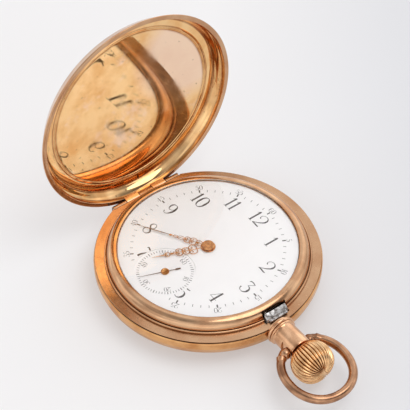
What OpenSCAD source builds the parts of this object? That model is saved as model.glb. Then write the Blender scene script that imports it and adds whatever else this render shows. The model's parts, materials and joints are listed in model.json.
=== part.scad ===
// Hunter-cased pocket watch, front cover open, in millimetres.
// Origin at the centre of the flat in the back cover, +Z out of the dial, +X through the pendant,
// +Y to twelve. The movement is stacked up from the back cover to the dial.

/* [Case] */
// Width of the case's metal outside the movement's seat
case_wall = 4.3; // [4.1:0.1:5.3]
// Radius of the flat that the watch rests on
rest_r = 9; // [7:0.5:11]
// Thickness of the back cover's sheet
cover_t = 0.6; // [0.5:0.05:0.8]
// Thickness of the inner dust cover
cuvette_t = 0.4; // [0.3:0.05:0.6]
// Drop from the dial face to the ledge that the front cover shuts on
ledge_drop = 1.95; // [1.85:0.05:2.15]
// Height of the case band below that ledge
band_h = 2.54; // [2.4:0.02:2.8]
// Width of the bezel, from the neck it snaps on to the ledge
bezel_w = 0.85; // [0.75:0.05:1]
// Angle that the front cover opens to
open_angle = 92.5; // [85:0.5:95]
// Height of the front cover's dome over the dial
dome_h = 2.65; // [2.6:0.05:3.2]
// Radius of the hinge tubes
tube_r = 0.68; // [0.6:0.02:0.72]
// Length of the hinge tubes
hinge_len = 18.6; // [17:0.2:19]
// Radius of the hinge pins
hinge_pin_r = 0.3; // [0.25:0.01:0.35]
// Rise of the crystal's dome over its edge
crystal_rise = 0.9; // [0.75:0.05:0.95]

/* [Pendant] */
// Length of the pendant, from the case to the pivots of the bow
pendant_len = 6.2; // [5.8:0.1:6.8]
// Radius of the pendant's neck
neck_r = 2.95; // [2.8:0.05:3.1]
// Radius of the winding stem
stem_r = 0.7; // [0.6:0.05:0.72]
// Radius of the crown
crown_r = 4.85; // [4.5:0.05:5]
// Length of the crown
crown_len = 7.3; // [7:0.1:7.6]
// Number of flutes round the crown
crown_flutes = 36; // [30:2:44]
// Travel of the crown when it is pressed
press = 0.45; // [0.3:0.05:0.5]
// Half the width of the bow, to the middle of its wire
bow_half = 7.5; // [7.4:0.1:8]
// Length of the bow from its pivots to the middle of its wire
bow_len = 15.3; // [15:0.1:16]
// Radius of the bow's wire
bow_wire_r = 1; // [0.9:0.05:1.1]
// Angle that the bow hangs down from the plane of the case
bow_droop = 4.5; // [0:0.5:12]

/* [Movement] */
// Radius of the pillar plate
move_r = 21.6; // [21.5:0.05:21.8]
// How far the bridges stop inside the plate's edge
bridge_inset = 0.9; // [0.7:0.05:1.1]
// Distance of the balance staff from the centre
balance_gap = 12.62; // [12.55:0.01:12.7]
// Thickness of the dial
dial_t = 0.8; // [0.7:0.05:0.9]
// Thickness of the pillar plate
plate_t = 1.3; // [1.2:0.05:1.4]
// Space between the pillar plate and the bridges
gap_h = 3; // [2.9:0.05:3.2]
// Thickness of the bridges
bridge_t = 1; // [0.9:0.05:1.1]
// Thickness of the balance cock's arm
cock_t = 0.7; // [0.6:0.05:0.75]
// Thickness of the train wheels
wheel_t = 0.2; // [0.15:0.01:0.25]
// Radius of the pivots
pivot_r = 0.2; // [0.16:0.01:0.24]
// Radius of the jewels
jewel_r = 0.75; // [0.65:0.05:0.8]
// Radius of the balance rim
balance_r = 6.5; // [6.2:0.1:6.6]
// Radius of the mainspring barrel's drum
barrel_r = 7.8; // [7.4:0.1:7.9]
// Number of turns of the mainspring
mainspring_turns = 9; // [6:1:10]
// Number of turns of the hairspring
hairspring_turns = 9; // [6:1:11]

/* [Dial] */
// Depth that the seconds dial is sunk by
sunk = 0.2; // [0.1:0.05:0.3]
// Radius of the sunk seconds dial
sub_r = 6.9; // [6.7:0.1:7]
// Length of the hour hand
hour_len = 13; // [12.5:0.1:13.5]
// Length of the minute hand
minute_len = 17.8; // [17:0.1:18.2]
// Length of the seconds hand
second_len = 6; // [5.5:0.1:6.3]
// Angle of the hour hand, clockwise from twelve
hour_angle = 200.5; // [198:0.5:203]
// Angle of the minute hand, clockwise from twelve
minute_angle = 237; // [230:1:245]
// Angle of the seconds hand, clockwise from twelve
second_angle = 201; // [190:1:210]

/* [Hidden] */

$fn = 96;
over = 0.1;        // how far a cut reaches past the face it opens
run = 0.03;        // clearance of a pivot or shaft in its hole
seat = 0.02;       // clearance between fitted faces
free = 0.1;        // clearance round a moving piece

rose = [0.80, 0.58, 0.44];
gold = [0.86, 0.66, 0.38];
nickel = [0.78, 0.77, 0.74];
steel = [0.55, 0.56, 0.58];
blued = [0.16, 0.22, 0.42];
brass = [0.83, 0.68, 0.38];
ruby = [0.75, 0.12, 0.25];
enamel = [0.96, 0.96, 0.95];

// Heights, from the back cover up
back_air = 1.3;
cuvette_z = cover_t + back_air;
movement_air = 1.1;
bridge_z = cuvette_z + cuvette_t + movement_air;
bridge_top = bridge_z + bridge_t;
plate_z = bridge_top + gap_h;
dial_bottom = plate_z + plate_t;
dial_z = dial_bottom + dial_t;
ledge_z = dial_z - ledge_drop;
band_z = ledge_z - band_h;
stem_z = ledge_z - 1;
cock_z = bridge_z - 0.4;
front_hinge_z = ledge_z - tube_r - 0.15;
back_hinge_z = band_z - tube_r - 0.05;
bore_r = move_r + 0.1;
case_r = bore_r + case_wall;
bridge_r = move_r - bridge_inset;
bow_x = case_r + pendant_len;
hinge_x = case_r - 1.6;
chord_x = hinge_x + tube_r + 0.02;

// Radii of the case's seats
neck_ring_r = bore_r + 0.98;
bezel_r = neck_ring_r + bezel_w;
lid_wall_r = bezel_r + 0.87;
lid_r = case_r - 0.5;
dial_r = move_r - 0.6;
glass_r = dial_r - 0.4;
sight_r = glass_r - 0.15;
groove_r = bore_r + 1.2;
lip_r = groove_r;

function deg_arc(cx, cy, r, a0, a1, n) = [for (i = [0:n]) let (a = a0 + (a1 - a0) * i / n)
    [cx + r * cos(a), cy + r * sin(a)]];
function clock(a) = 90 - a;
function polar(r, a) = [r * cos(a), r * sin(a)];

// Lays a shape that is turned about Z along the stem's axis instead, at x
module on_stem(x = 0) translate([x, 0, stem_z]) rotate([0, 90, 0]) children();

// A ring sector of height h between radii r0 and r1, from angle a0 to a1 (under 180 degrees)
module sector(r0, r1, a0, a1, h) linear_extrude(h) polygon(concat(
    deg_arc(0, 0, r1, a0, a1, 24), deg_arc(0, 0, r0, a1, a0, 24)));

// Hinge knuckles number first to last of count, every skip-th one, along the line y, lying at z
module knuckles(z, picks, count, gap = 0.06) {
    pitch = hinge_len / count;
    for (k = picks)
        translate([-hinge_x, -hinge_len / 2 + k * pitch + gap / 2, z]) rotate([-90, 0, 0])
            cylinder(r = tube_r, h = pitch - gap, $fn = 48);
}

// Plates that join the knuckles to their cover or to the case
module leaves(picks, count, x0, x1, z0, z1, gap = 0.06) {
    pitch = hinge_len / count;
    for (k = picks)
        translate([-x0, -hinge_len / 2 + k * pitch + gap / 2, z0]) cube([x0 - x1, pitch - gap, z1 - z0]);
}

module hinge_bore(z) translate([-hinge_x, -hinge_len / 2 - over, z]) rotate([-90, 0, 0])
    cylinder(r = hinge_pin_r + run, h = hinge_len + 2 * over, $fn = 32);

FRONT_COUNT = 5;
FRONT_CASE = [0, 2, 4];
FRONT_LID = [1, 3];
BACK_COUNT = 7;
BACK_CASE = [0, 3, 6];
BACK_COVER = [1, 5];
BACK_CUVETTE = [2, 4];

latch_y = 1.2;
latch_half = 3.2;
latch_in = groove_r - 0.75;
latch_out = bezel_r + 0.4;
lever_angle = 32;

// The case centre: a turned ring that carries every other part of the case

module case_center() color(rose) difference() {
    union() {
        difference() {
            rotate_extrude() polygon(concat([
                [bore_r, dial_z - 0.75], [bore_r, plate_z], [bore_r - 0.6, plate_z],
                [bore_r - 0.6, plate_z - 0.45], [groove_r, plate_z - 0.45], [groove_r, band_z + 0.35],
                [bore_r - 0.2, band_z + 0.35], [bore_r - 0.2, band_z - 0.75], [lip_r, band_z - 0.75],
                [lip_r, band_z], [case_r - 0.3, band_z]],
                deg_arc(case_r - 0.55, band_z + 0.55, 0.55, -60, 0, 4),
                deg_arc(case_r - 0.8, ledge_z - 0.95, 0.8, 0, 65, 6),
                [[lid_r + 0.02, ledge_z - 0.22], [lid_r - 0.1, ledge_z - 0.15], [lid_r - 0.1, ledge_z],
                [neck_ring_r, ledge_z], [neck_ring_r, dial_z - 0.75]]));
            // Chord flat at the hinge, and the trough that the front tube lies in
            translate([-case_r - 5, -hinge_len / 2 - free, band_z - 2])
                cube([case_r + 5 - chord_x, hinge_len + 2 * free, 8]);
            translate([-case_r - 5, -hinge_len / 2 - free, front_hinge_z - tube_r - free])
                cube([case_r + 5 - hinge_x + tube_r + free, hinge_len + 2 * free, 5]);
        }
        intersection() {
            union() {
                knuckles(front_hinge_z, FRONT_CASE, FRONT_COUNT);
                leaves(FRONT_CASE, FRONT_COUNT, hinge_x, hinge_x - tube_r - 0.3, front_hinge_z - tube_r,
                    front_hinge_z + tube_r);
                leaves(FRONT_CASE, FRONT_COUNT, chord_x, hinge_x - tube_r - 0.3, front_hinge_z - tube_r - 0.3,
                    front_hinge_z);
            }
            cylinder(r = case_r + 1.2, h = 30);
        }
        knuckles(back_hinge_z, BACK_CASE, BACK_COUNT);
        leaves(BACK_CASE, BACK_COUNT, hinge_x + 0.3, hinge_x - 0.5, back_hinge_z, band_z + 0.2);
    }
    hinge_bore(front_hinge_z);
    hinge_bore(back_hinge_z);
    // Bore for the stem, and the socket that the pendant is soldered into
    on_stem(groove_r - 1) cylinder(r = stem_r + 0.05, h = case_r, $fn = 48);
    on_stem(case_r - 0.25) cylinder(r = neck_r, h = 2, $fn = 64);
    // Slot for the tip of the lock spring, and the notch for the setting lever
    translate([bore_r - 0.7, latch_y - latch_half - free, band_z + 0.4])
        cube([latch_out - bore_r + 0.82, 2 * (latch_half + free), 6]);
    rotate([0, 0, lever_angle]) translate([bore_r - over, -0.95, dial_bottom - 0.55]) cube([2, 1.9, 2]);
}

// Bezel: a broad convex ring that snaps on the neck and holds the glass

module bezel() color(rose) difference() {
    rotate_extrude() polygon(concat([
        [sight_r, dial_z + 0.05], [dial_r + 0.1, dial_z + 0.05], [dial_r + 0.1, dial_z - 0.68],
        [neck_ring_r + seat, dial_z - 0.68], [neck_ring_r + seat, ledge_z], [bezel_r, ledge_z],
        [bezel_r, ledge_z + 0.25], [bezel_r - 0.12, ledge_z + 0.5], [bezel_r - 0.3, ledge_z + 0.62],
        [bezel_r - 0.42, ledge_z + 0.5]],
        [for (i = [0:10]) let (a = i * 9)
            [glass_r + 0.25 + (bezel_r - 0.42 - glass_r - 0.25) * cos(a),
             ledge_z + 0.62 + (ledge_drop + 0.1) * sin(a)]],
        [[glass_r + seat, dial_z + 0.70], [glass_r + seat, dial_z + 0.25], [sight_r, dial_z + 0.25]]));
    // Slot that the lock spring's head stands in
    translate([neck_ring_r - 0.1, latch_y - latch_half - free, ledge_z - over])
        cube([3, 2 * (latch_half + free), 4]);
    translate([latch_in - free - press, latch_y - latch_half - free, ledge_z - over])
        cube([3, 2 * (latch_half + free), 0.75 + over + free]);
}

module crystal() color([0.9, 0.95, 1, 0.3]) {
    n = 16;
    base = dial_z + 0.26;
    edge = 0.38;
    rotate_extrude() polygon(concat(
        [for (i = [0:n]) let (r = glass_r * i / n) [r, base + edge + crystal_rise * (1 - pow(r / glass_r, 3))]],
        [for (i = [n:-1:0]) let (r = glass_r * i / n) [r, base + crystal_rise * (1 - pow(r / glass_r, 3))]]));
}

// Front cover, modelled shut and then opened about its hinge

// Its rim is a low lip, from which a flank leans in to a rounded shoulder and the dome
lid_lip = 0.3;
flank_w = 1.65;
lean = 36.7;       // angle of the flank's face over the rim's
shoulder = 2.4;
mirror_r = glass_r - 0.55;
mirror_curve = 0.00235;
function mirror_z(r) = dial_z + dome_h - 0.7 - mirror_curve * r * r;

module front_cover_shut() difference() {
    flank = [lid_r - flank_w, ledge_z + lid_lip + flank_w / tan(lean)];
    pivot = flank - polar(shoulder, lean);
    top = pivot + polar(shoulder, 84);
    floor_z = mirror_z(mirror_r);
    union() {
        rotate_extrude() polygon(concat(
            [[lid_wall_r, ledge_z + seat], [lid_r - 0.08, ledge_z + seat], [lid_r, ledge_z + 0.1],
            [lid_r, ledge_z + lid_lip]],
            deg_arc(pivot.x, pivot.y, shoulder, lean, 84, 8),
            [for (i = [9:-1:0]) let (r = top.x * i / 10)
                [r, top.y + (dial_z + dome_h - top.y) * (1 - pow(r / top.x, 2))]],
            [for (i = [0:8]) let (r = mirror_r * i / 8) [r, mirror_z(r)]],
            [[mirror_r + 0.25, floor_z - 0.06], [mirror_r + 0.7, floor_z - 0.04], [mirror_r + 1.05, floor_z + 0.12],
            [mirror_r + 1.25, floor_z], [lid_wall_r - 1.5, floor_z - 0.08], [lid_wall_r - 1.1, ledge_z + 2.45],
            [lid_wall_r, ledge_z + 0.95]]));
        knuckles(front_hinge_z, FRONT_LID, FRONT_COUNT);
        leaves(FRONT_LID, FRONT_COUNT, hinge_x + tube_r, hinge_x - tube_r, front_hinge_z, ledge_z + 0.3);
    }
    translate([-case_r - 5, -case_r, -5]) cube([case_r + 5 - chord_x, 2 * case_r, 40]);
    hinge_bore(front_hinge_z);
    // Pocket behind the rim that the nose of the lock spring hooks into
    translate([lid_wall_r - 1, latch_y - latch_half - 0.3, ledge_z + 0.2])
        cube([1.38, 2 * latch_half + 0.6, 0.65]);
}

module opened() translate([-hinge_x, 0, front_hinge_z]) rotate([0, -open_angle, 0])
    translate([hinge_x, 0, -front_hinge_z]) children();

module front_cover() color(gold) opened() front_cover_shut();

module hinge_pin(z) color(steel) translate([-hinge_x, -hinge_len / 2 + seat, z]) rotate([-90, 0, 0])
    cylinder(r = hinge_pin_r, h = hinge_len - 2 * seat, $fn = 32);

module front_hinge_pin() hinge_pin(front_hinge_z);
module back_hinge_pin() hinge_pin(back_hinge_z);

// Back cover: a shallow dish with a flat to rest on. Its rim meets the band from below

rim_in = case_r - 1.3;
rim_out = case_r - 0.35;
function back(r) = (band_z - 1.3) * pow(max(0, r - rest_r) / (rim_out - rest_r), 2);

module back_cover() color(rose) {
    difference() {
        rotate_extrude() polygon(concat(
            [[0, 0]], [for (i = [0:12]) let (r = rest_r + (rim_out - 0.15 - rest_r) * i / 12) [r, back(r)]],
            [[rim_out, band_z - 0.8], [rim_out, band_z - 0.3], [rim_out - 0.2, band_z - seat],
            [rim_in, band_z - seat], [rim_in, band_z - 0.8]],
            [for (i = [11:-1:0]) let (r = rest_r + (rim_in - rest_r) * i / 12) [r, back(r) + cover_t]],
            [[0, cover_t]]));
        translate([-case_r - 5, -hinge_len / 2 - free, -1]) cube([case_r + 5 - chord_x, hinge_len + 2 * free, 8]);
        translate([-case_r - 5, -hinge_len / 2 - free, back_hinge_z - tube_r - free])
            cube([case_r + 5 - hinge_x + tube_r + free, hinge_len + 2 * free, 5]);
    }
    difference() {
        union() {
            knuckles(back_hinge_z, BACK_COVER, BACK_COUNT);
            leaves(BACK_COVER, BACK_COUNT, hinge_x + tube_r, hinge_x - 0.1, back_hinge_z - tube_r - 0.35,
                back_hinge_z);
        }
        hinge_bore(back_hinge_z);
    }
}

// Inner dust cover, hinged on the back cover's pin

module cuvette() color(gold) {
    rim = lip_r + 0.05;
    top = band_z - 0.1;
    flat_r = bridge_r - 2.7;
    difference() {
        rotate_extrude() polygon([[0, cuvette_z], [flat_r, cuvette_z], [rim + 0.5, top - 1.3], [rim + 0.5, top],
            [rim, top], [rim, top - 0.75], [rim - 0.1, top - 0.85], [flat_r - 0.2, cuvette_z + cuvette_t],
            [0, cuvette_z + cuvette_t]]);
        translate([-case_r, -case_r, top - 0.72]) cube([case_r - 18, 2 * case_r, 3]);
    }
    difference() {
        union() {
            knuckles(back_hinge_z, BACK_CUVETTE, BACK_COUNT);
            leaves(BACK_CUVETTE, BACK_COUNT, hinge_x, lip_r - 0.3, top - 1.15, top - 0.78);
        }
        hinge_bore(back_hinge_z);
    }
}

// Pendant: stout turned neck with two collars at its foot, soldered into the band. Flats are milled on
// its sides for the bow's ends, whose pivots turn in it

neck_end = bow_x + 1.63;
flat_y = neck_r - 0.45;
pivot_in = flat_y - 0.9;
bow_pivot_r = 0.62;

module pendant() color(rose) difference() {
    x0 = case_r - 0.25;
    on_stem(0) rotate_extrude() polygon([[1.55, x0], [neck_r - seat, x0], [neck_r - seat, case_r + 0.1],
        [neck_r + 0.35, case_r + 0.2], [neck_r + 0.52, case_r + 0.45], [neck_r + 0.52, case_r + 0.75],
        [neck_r + 0.35, case_r + 1.0], [neck_r + 0.12, case_r + 1.1], [neck_r + 0.3, case_r + 1.22],
        [neck_r + 0.38, case_r + 1.4], [neck_r + 0.3, case_r + 1.6], [neck_r, case_r + 1.75],
        [neck_r - 0.05, case_r + 2.4], [neck_r + 0.05, neck_end - 0.4], [neck_r - 0.1, neck_end],
        [1.55, neck_end]]);
    for (s = [-1, 1])
        translate([bow_x - 1.85, s > 0 ? flat_y : -flat_y - 2, stem_z - 3]) cube([4, 2, 6]);
    translate([bow_x, 0, stem_z]) rotate([90, 0, 0])
        cylinder(r = bow_pivot_r + run, h = 4 * neck_r, center = true, $fn = 32);
}

module pendant_sleeve() color(steel) difference() {
    on_stem(case_r - 0.25) difference() {
        cylinder(r = 1.5, h = neck_end - case_r + 0.22, $fn = 48);
        translate([0, 0, -over]) cylinder(r = stem_r + run, h = neck_end, $fn = 48);
    }
    translate([bow_x, 0, stem_z]) rotate([90, 0, 0])
        cylinder(r = bow_pivot_r + 0.15, h = 4 * neck_r, center = true, $fn = 32);
}

crown_x = neck_end + press + 0.12;
pinion_x = 14.1;
arbor_end = move_r - 1.2;

stem_start = arbor_end + press + 0.05;

module stem() color(steel) {
    on_stem(stem_start) cylinder(r = stem_r, h = crown_x + 1.5 - stem_start, $fn = 48);
    translate([arbor_end - 1.6, -0.3, stem_z - 0.3]) cube([2.3, 0.6, 0.6]);
}

module crown() color(gold) difference() {
    r = crown_r;
    on_stem(crown_x) intersection() {
        rotate_extrude() polygon([[0, 0], [0.68 * r, 0], [0.8 * r, 0.06 * crown_len], [0.92 * r, 0.2 * crown_len],
            [r, 0.42 * crown_len], [0.96 * r, 0.6 * crown_len], [0.84 * r, 0.8 * crown_len],
            [0.64 * r, 0.94 * crown_len], [0.42 * r, crown_len], [0, crown_len]]);
        linear_extrude(crown_len) polygon([for (i = [0:crown_flutes - 1], s = [0, 1])
            polar(s == 0 ? r + 0.05 : r - 0.4, (i + s / 2) * 360 / crown_flutes)]);
    }
    on_stem(crown_x - over) cylinder(r = stem_r + seat, h = 1.5 + over + seat, $fn = 48);
}

// Bow: one ring of round wire, flattened a little, whose swollen ends carry the pivots

bulb_y = flat_y + 0.12;
bulb_r = 1.3;
ring_r = bow_half + 0.2;
ring_u = bow_len - ring_r;
end_v = bulb_y + 0.68;

module bow() color(rose) translate([bow_x, 0, stem_z]) rotate([0, bow_droop, 0]) {
    turn = 180 - asin(end_v / ring_r);
    translate([ring_u, 0, 0]) rotate([0, 0, -turn]) rotate_extrude(angle = 2 * turn) translate([ring_r, 0])
        circle(r = bow_wire_r, $fn = 32);
    // Swollen ends, faced off beside the pendant, and the pivots
    for (s = [-1, 1]) {
        difference() {
            translate([0.35, s * end_v, 0]) sphere(r = bulb_r, $fn = 48);
            translate([-bulb_r - 1, s > 0 ? bulb_y - 3 : -bulb_y, -2]) cube([2 * bulb_r + 3, 3, 4]);
        }
        translate([0, s * pivot_in, 0]) rotate([-s * 90, 0, 0])
            cylinder(r = bow_pivot_r, h = bulb_y - pivot_in + 0.3, $fn = 32);
    }
}

// Lock spring: a steel strip in the case's groove whose tip stands in the slot beside the bezel

module lock_spring() color(steel) {
    difference() {
        union() {
            translate([latch_in, latch_y - latch_half, band_z + 0.5])
                cube([latch_out - 0.18 - latch_in, 2 * latch_half, ledge_z + 0.75 - band_z - 0.5]);
            translate([latch_in, latch_y - latch_half + 0.8, ledge_z + 0.3])
                cube([lid_wall_r + 0.2 - latch_in, 2 * latch_half - 1.6, 0.4]);
        }
        // Fork that straddles the stem
        on_stem(latch_in - 1) cylinder(r = stem_r + 0.12, h = 5, $fn = 48);
        translate([latch_in - 1, -stem_r - 0.12, band_z]) cube([5, 2 * stem_r + 0.24, stem_z - band_z]);
    }
    case_spring_strip(3.5, 80);
}

module case_spring_strip(a0, a1) translate([0, 0, band_z + 0.5])
    sector(groove_r - 0.6, groove_r - 0.15, a0, a1, 1.2);

module lift_spring() color(steel) {
    translate([-groove_r + 0.25, -1.2, plate_z - 1.5]) cube([0.6, 2.4, 1]);
    case_spring_strip(181, 260);
}

// Case screws: their heads reach under the case's seat and pull the movement down on it

case_screw_angles = [60, 205, 320];
case_screw_r = bore_r - 1.75;

module case_screws() color(steel) for (a = case_screw_angles) rotate([0, 0, a]) translate([case_screw_r, 0, 0]) {
    translate([0, 0, plate_z - 0.45 - 0.55]) cylinder(r = 1.5, h = 0.53, $fn = 32);
    translate([0, 0, plate_z - 0.5]) cylinder(r = 0.5, h = 1.1, $fn = 32);
}

module case_screw_holes() for (a = case_screw_angles) rotate([0, 0, a]) translate([case_screw_r, 0, plate_z - over])
    cylinder(r = 0.5 + seat, h = 0.8, $fn = 32);

// Train layout. Each centre distance is set, and the teeth share it out

barrel_teeth = 78;
center_pinion_teeth = 12;
center_teeth = 80;
third_pinion_teeth = 10;
third_teeth = 75;
fourth_pinion_teeth = 10;
fourth_teeth = 80;
escape_pinion_teeth = 8;
ratchet_teeth = 60;
crown_teeth = 46;
motion_cannon = 12;
motion_minute = 36;
motion_pinion = 10;
motion_hour = 40;

barrel_gap = barrel_r + 1.78;
center_third = 7.4;
third_fourth = 6.6;
fourth_escape = 5.5;
seconds_y = 12;
motion_gap = 3;

barrel_angle = 50;
barrel_at = polar(barrel_gap, barrel_angle);
third_y = -(pow(center_third, 2) - pow(third_fourth, 2) + pow(seconds_y, 2)) / (2 * seconds_y);
third_at = [sqrt(pow(center_third, 2) - pow(third_y, 2)), third_y];
fourth_at = [0, -seconds_y];
escape_angle = 199;
escape_at = fourth_at + polar(fourth_escape, escape_angle);
balance_at = polar(balance_gap, 213.7);
fork_dir = atan2(balance_at.y - escape_at.y, balance_at.x - escape_at.x);
pallet_at = escape_at + polar(4, fork_dir);
fork_len = norm(balance_at - pallet_at);
minute_dir = 75;
minute_at = polar(motion_gap, minute_dir);
contrate_r = 3.85;
crown_wheel_at = [pinion_x + 2.9 - contrate_r, 0];
winding_gap = norm(barrel_at - crown_wheel_at);
winding_dir = atan2(barrel_at.y - crown_wheel_at.y, barrel_at.x - crown_wheel_at.x);

// Pitch radius of a wheel with n teeth that meshes with one of m teeth at distance d
function pitch(d, n, m) = d * n / (n + m);
function tooth(rp, n) = 2 * rp / n;

// Points of a wheel with n teeth of pitch radius rp, a tooth lying at angle a
function gear_points(n, rp, a, add = 0.75, ded = 1.1, root = 0.29, tip = 0.1) = [
    for (i = [0:n - 1]) let (m = tooth(rp, n), t = a + 360 * i / n, w = 360 / n)
        for (p = [[rp - ded * m, -root], [rp + add * m, -tip], [rp + add * m, tip], [rp - ded * m, root]])
            polar(p[0], t + p[1] * w)];

// A train wheel at a place: teeth, crossed out with arms, a hub and a hole
module wheel(at, n, rp, a, z, t, hole, arms = 5, hub = 1.3, rim = 0.55) translate([at.x, at.y, z])
    linear_extrude(t) difference() {
        polygon(gear_points(n, rp, a));
        difference() {
            circle(r = rp - 1.1 * tooth(rp, n) - rim);
            circle(r = hub);
            for (k = [0:arms - 1]) rotate(a + 360 * k / arms) translate([0, -0.28]) square([rp, 0.56]);
        }
        circle(r = hole, $fn = 32);
    }

// An arbor with a pinion cut in it: pivots at both ends, a seat for its wheel
module arbor(at, z0, z1, r, n, rp, a, pz, ph, pivot = pivot_r, top = 0) translate([at.x, at.y, 0]) {
    translate([0, 0, z0]) cylinder(r = pivot, h = z1 + top - z0, $fn = 32);
    translate([0, 0, z0 + 0.4]) cylinder(r = r, h = z1 - z0 - 0.8, $fn = 32);
    translate([0, 0, pz]) linear_extrude(ph) polygon(gear_points(n, rp, a));
}

center_wheel_z = plate_z - 0.45;
third_wheel_z = bridge_top + 0.6;
fourth_wheel_z = plate_z - 1.1;
escape_wheel_z = bridge_top + 1.1;
low = bridge_z + 0.3;
high = plate_z + 0.35;

center_pinion_r = pitch(barrel_gap, center_pinion_teeth, barrel_teeth);
barrel_pitch_r = pitch(barrel_gap, barrel_teeth, center_pinion_teeth);
center_r = pitch(center_third, center_teeth, third_pinion_teeth);
third_pinion_r = pitch(center_third, third_pinion_teeth, center_teeth);
third_r = pitch(third_fourth, third_teeth, fourth_pinion_teeth);
fourth_pinion_r = pitch(third_fourth, fourth_pinion_teeth, third_teeth);
fourth_r = pitch(fourth_escape, fourth_teeth, escape_pinion_teeth);
escape_pinion_r = pitch(fourth_escape, escape_pinion_teeth, fourth_teeth);
ratchet_r = pitch(winding_gap, ratchet_teeth, crown_teeth);
crown_wheel_r = pitch(winding_gap, crown_teeth, ratchet_teeth);
third_dir = atan2(third_at.y, third_at.x);
fourth_dir = atan2(fourth_at.y - third_at.y, fourth_at.x - third_at.x);

module center_wheel() color(brass)
    wheel([0, 0], center_teeth, center_r, third_dir, center_wheel_z, wheel_t, 0.6 + seat);

module center_arbor() color(steel) {
    arbor([0, 0], low, plate_z + 0.37, 0.6, center_pinion_teeth, center_pinion_r,
        barrel_angle + 180 + 180 / center_pinion_teeth + 180, center_wheel_z - 0.75, 0.7, 0.35);
    cylinder_from(0.38, plate_z, dial_z + 0.66);
}

module cylinder_from(r, z0, z1) translate([0, 0, z0]) cylinder(r = r, h = z1 - z0, $fn = 32);

module third_wheel() color(brass)
    wheel(third_at, third_teeth, third_r, fourth_dir, third_wheel_z, wheel_t, 0.4 + seat, 5, 1.1);

module third_arbor() color(steel)
    arbor(third_at, low, high, 0.4, third_pinion_teeth, third_pinion_r,
        third_dir + 180 + 180 / third_pinion_teeth, center_wheel_z - 0.25, wheel_t + 0.45);

module fourth_wheel() color(brass)
    wheel(fourth_at, fourth_teeth, fourth_r, escape_angle, fourth_wheel_z, wheel_t, 0.4 + seat, 4, 1.1);

module fourth_arbor() color(steel)
    arbor(fourth_at, low, high, 0.4, fourth_pinion_teeth, fourth_pinion_r,
        fourth_dir + 180 + 180 / fourth_pinion_teeth, third_wheel_z - 0.2, wheel_t + 0.4, pivot_r,
        dial_z - sunk + 0.25 - high);

module escape_wheel() color(steel) translate([escape_at.x, escape_at.y, escape_wheel_z])
    linear_extrude(wheel_t) difference() {
        polygon([for (i = [0:14], p = [[2.35, -9], [3, 0], [2.9, 1.5], [2.3, 4]]) polar(p[0], i * 24 + p[1])]);
        difference() {
            circle(r = 1.95);
            circle(r = 0.8);
            for (k = [0:3]) rotate(90 * k) translate([0, -0.2]) square([2.2, 0.4]);
        }
        circle(r = 0.35 + seat, $fn = 32);
    }

module escape_arbor() color(steel)
    arbor(escape_at, low, high, 0.35, escape_pinion_teeth, escape_pinion_r,
        escape_angle + 180 + 180 / escape_pinion_teeth, fourth_wheel_z - 0.2, wheel_t + 0.4);

// Pallet fork with its arbor, and the two stones held in its arms

module pallet_fork() color(steel) translate([pallet_at.x, pallet_at.y, 0]) {
    translate([0, 0, bridge_top + 0.75]) cylinder(r = pivot_r, h = high - bridge_top - 0.75, $fn = 32);
    translate([0, 0, escape_wheel_z - 0.05]) cylinder(r = 0.4, h = plate_z - 0.05 - escape_wheel_z, $fn = 32);
    translate([0, 0, escape_wheel_z]) rotate([0, 0, fork_dir]) linear_extrude(0.25) difference() {
        union() {
            circle(r = 0.8, $fn = 48);
            translate([0, -0.22]) square([fork_len - 1.35, 0.44]);
            translate([fork_len - 1.6, -0.5]) square([0.65, 1]);
            polygon([[0.3, 0.6], [-0.95, 2.35], [-1.55, 2.05], [-0.6, 0], [-1.55, -2.05], [-0.95, -2.35],
                [0.3, -0.6]]);
        }
        translate([fork_len - 1.3, -0.2]) square([1, 0.4]);
        for (s = [-1, 1]) translate([-1.25, s * 2.1]) rotate(s * -62) translate([-0.21, -0.6]) square([0.42, 0.6]);
    }
}

module pallet_stones() color(ruby) translate([pallet_at.x, pallet_at.y, escape_wheel_z - 0.05])
    rotate([0, 0, fork_dir]) for (s = [-1, 1]) translate([-1.25, s * 2.1, 0]) rotate([0, 0, s * -62])
        translate([-0.19, -0.42, 0]) cube([0.38, 0.4, 0.35]);

// Barrel, its cover, the mainspring coiled inside and the arbor that winds it

barrel_z = bridge_top + 0.2;
barrel_top = center_wheel_z - 0.12;

module barrel() color(brass) translate([barrel_at.x, barrel_at.y, 0]) difference() {
    union() {
        cylinder_from(barrel_r, barrel_z, barrel_top);
        translate([0, 0, barrel_top - 0.4]) linear_extrude(0.4)
            polygon(gear_points(barrel_teeth, barrel_pitch_r, barrel_angle + 180));
    }
    cylinder_from(barrel_r - 0.45, barrel_z - over, barrel_top - 0.35);
    cylinder_from(1 + run, barrel_z, barrel_top + over);
}

module barrel_cover() color(brass) translate([barrel_at.x, barrel_at.y, 0]) difference() {
    cylinder_from(barrel_r - 0.47, barrel_z, barrel_z + 0.3);
    cylinder_from(1 + run, barrel_z - over, barrel_z + 1);
}

// Points of a flat spiral strip of thickness t from radius r0 to r1 in n turns
function spiral(r0, r1, n, t, a0 = 0, step = 18) = let (k = n * 360 / step) concat(
    [for (i = [0:k]) polar(r0 + (r1 - r0) * i / k, a0 + i * step)],
    [for (i = [k:-1:0]) polar(r0 + t + (r1 - r0) * i / k, a0 + i * step)]);

module mainspring() color(blued) translate([barrel_at.x, barrel_at.y, barrel_z + 0.42])
    linear_extrude(barrel_top - barrel_z - 0.9)
        polygon(spiral(2.2, barrel_r - 0.72, mainspring_turns, 0.2));

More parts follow.
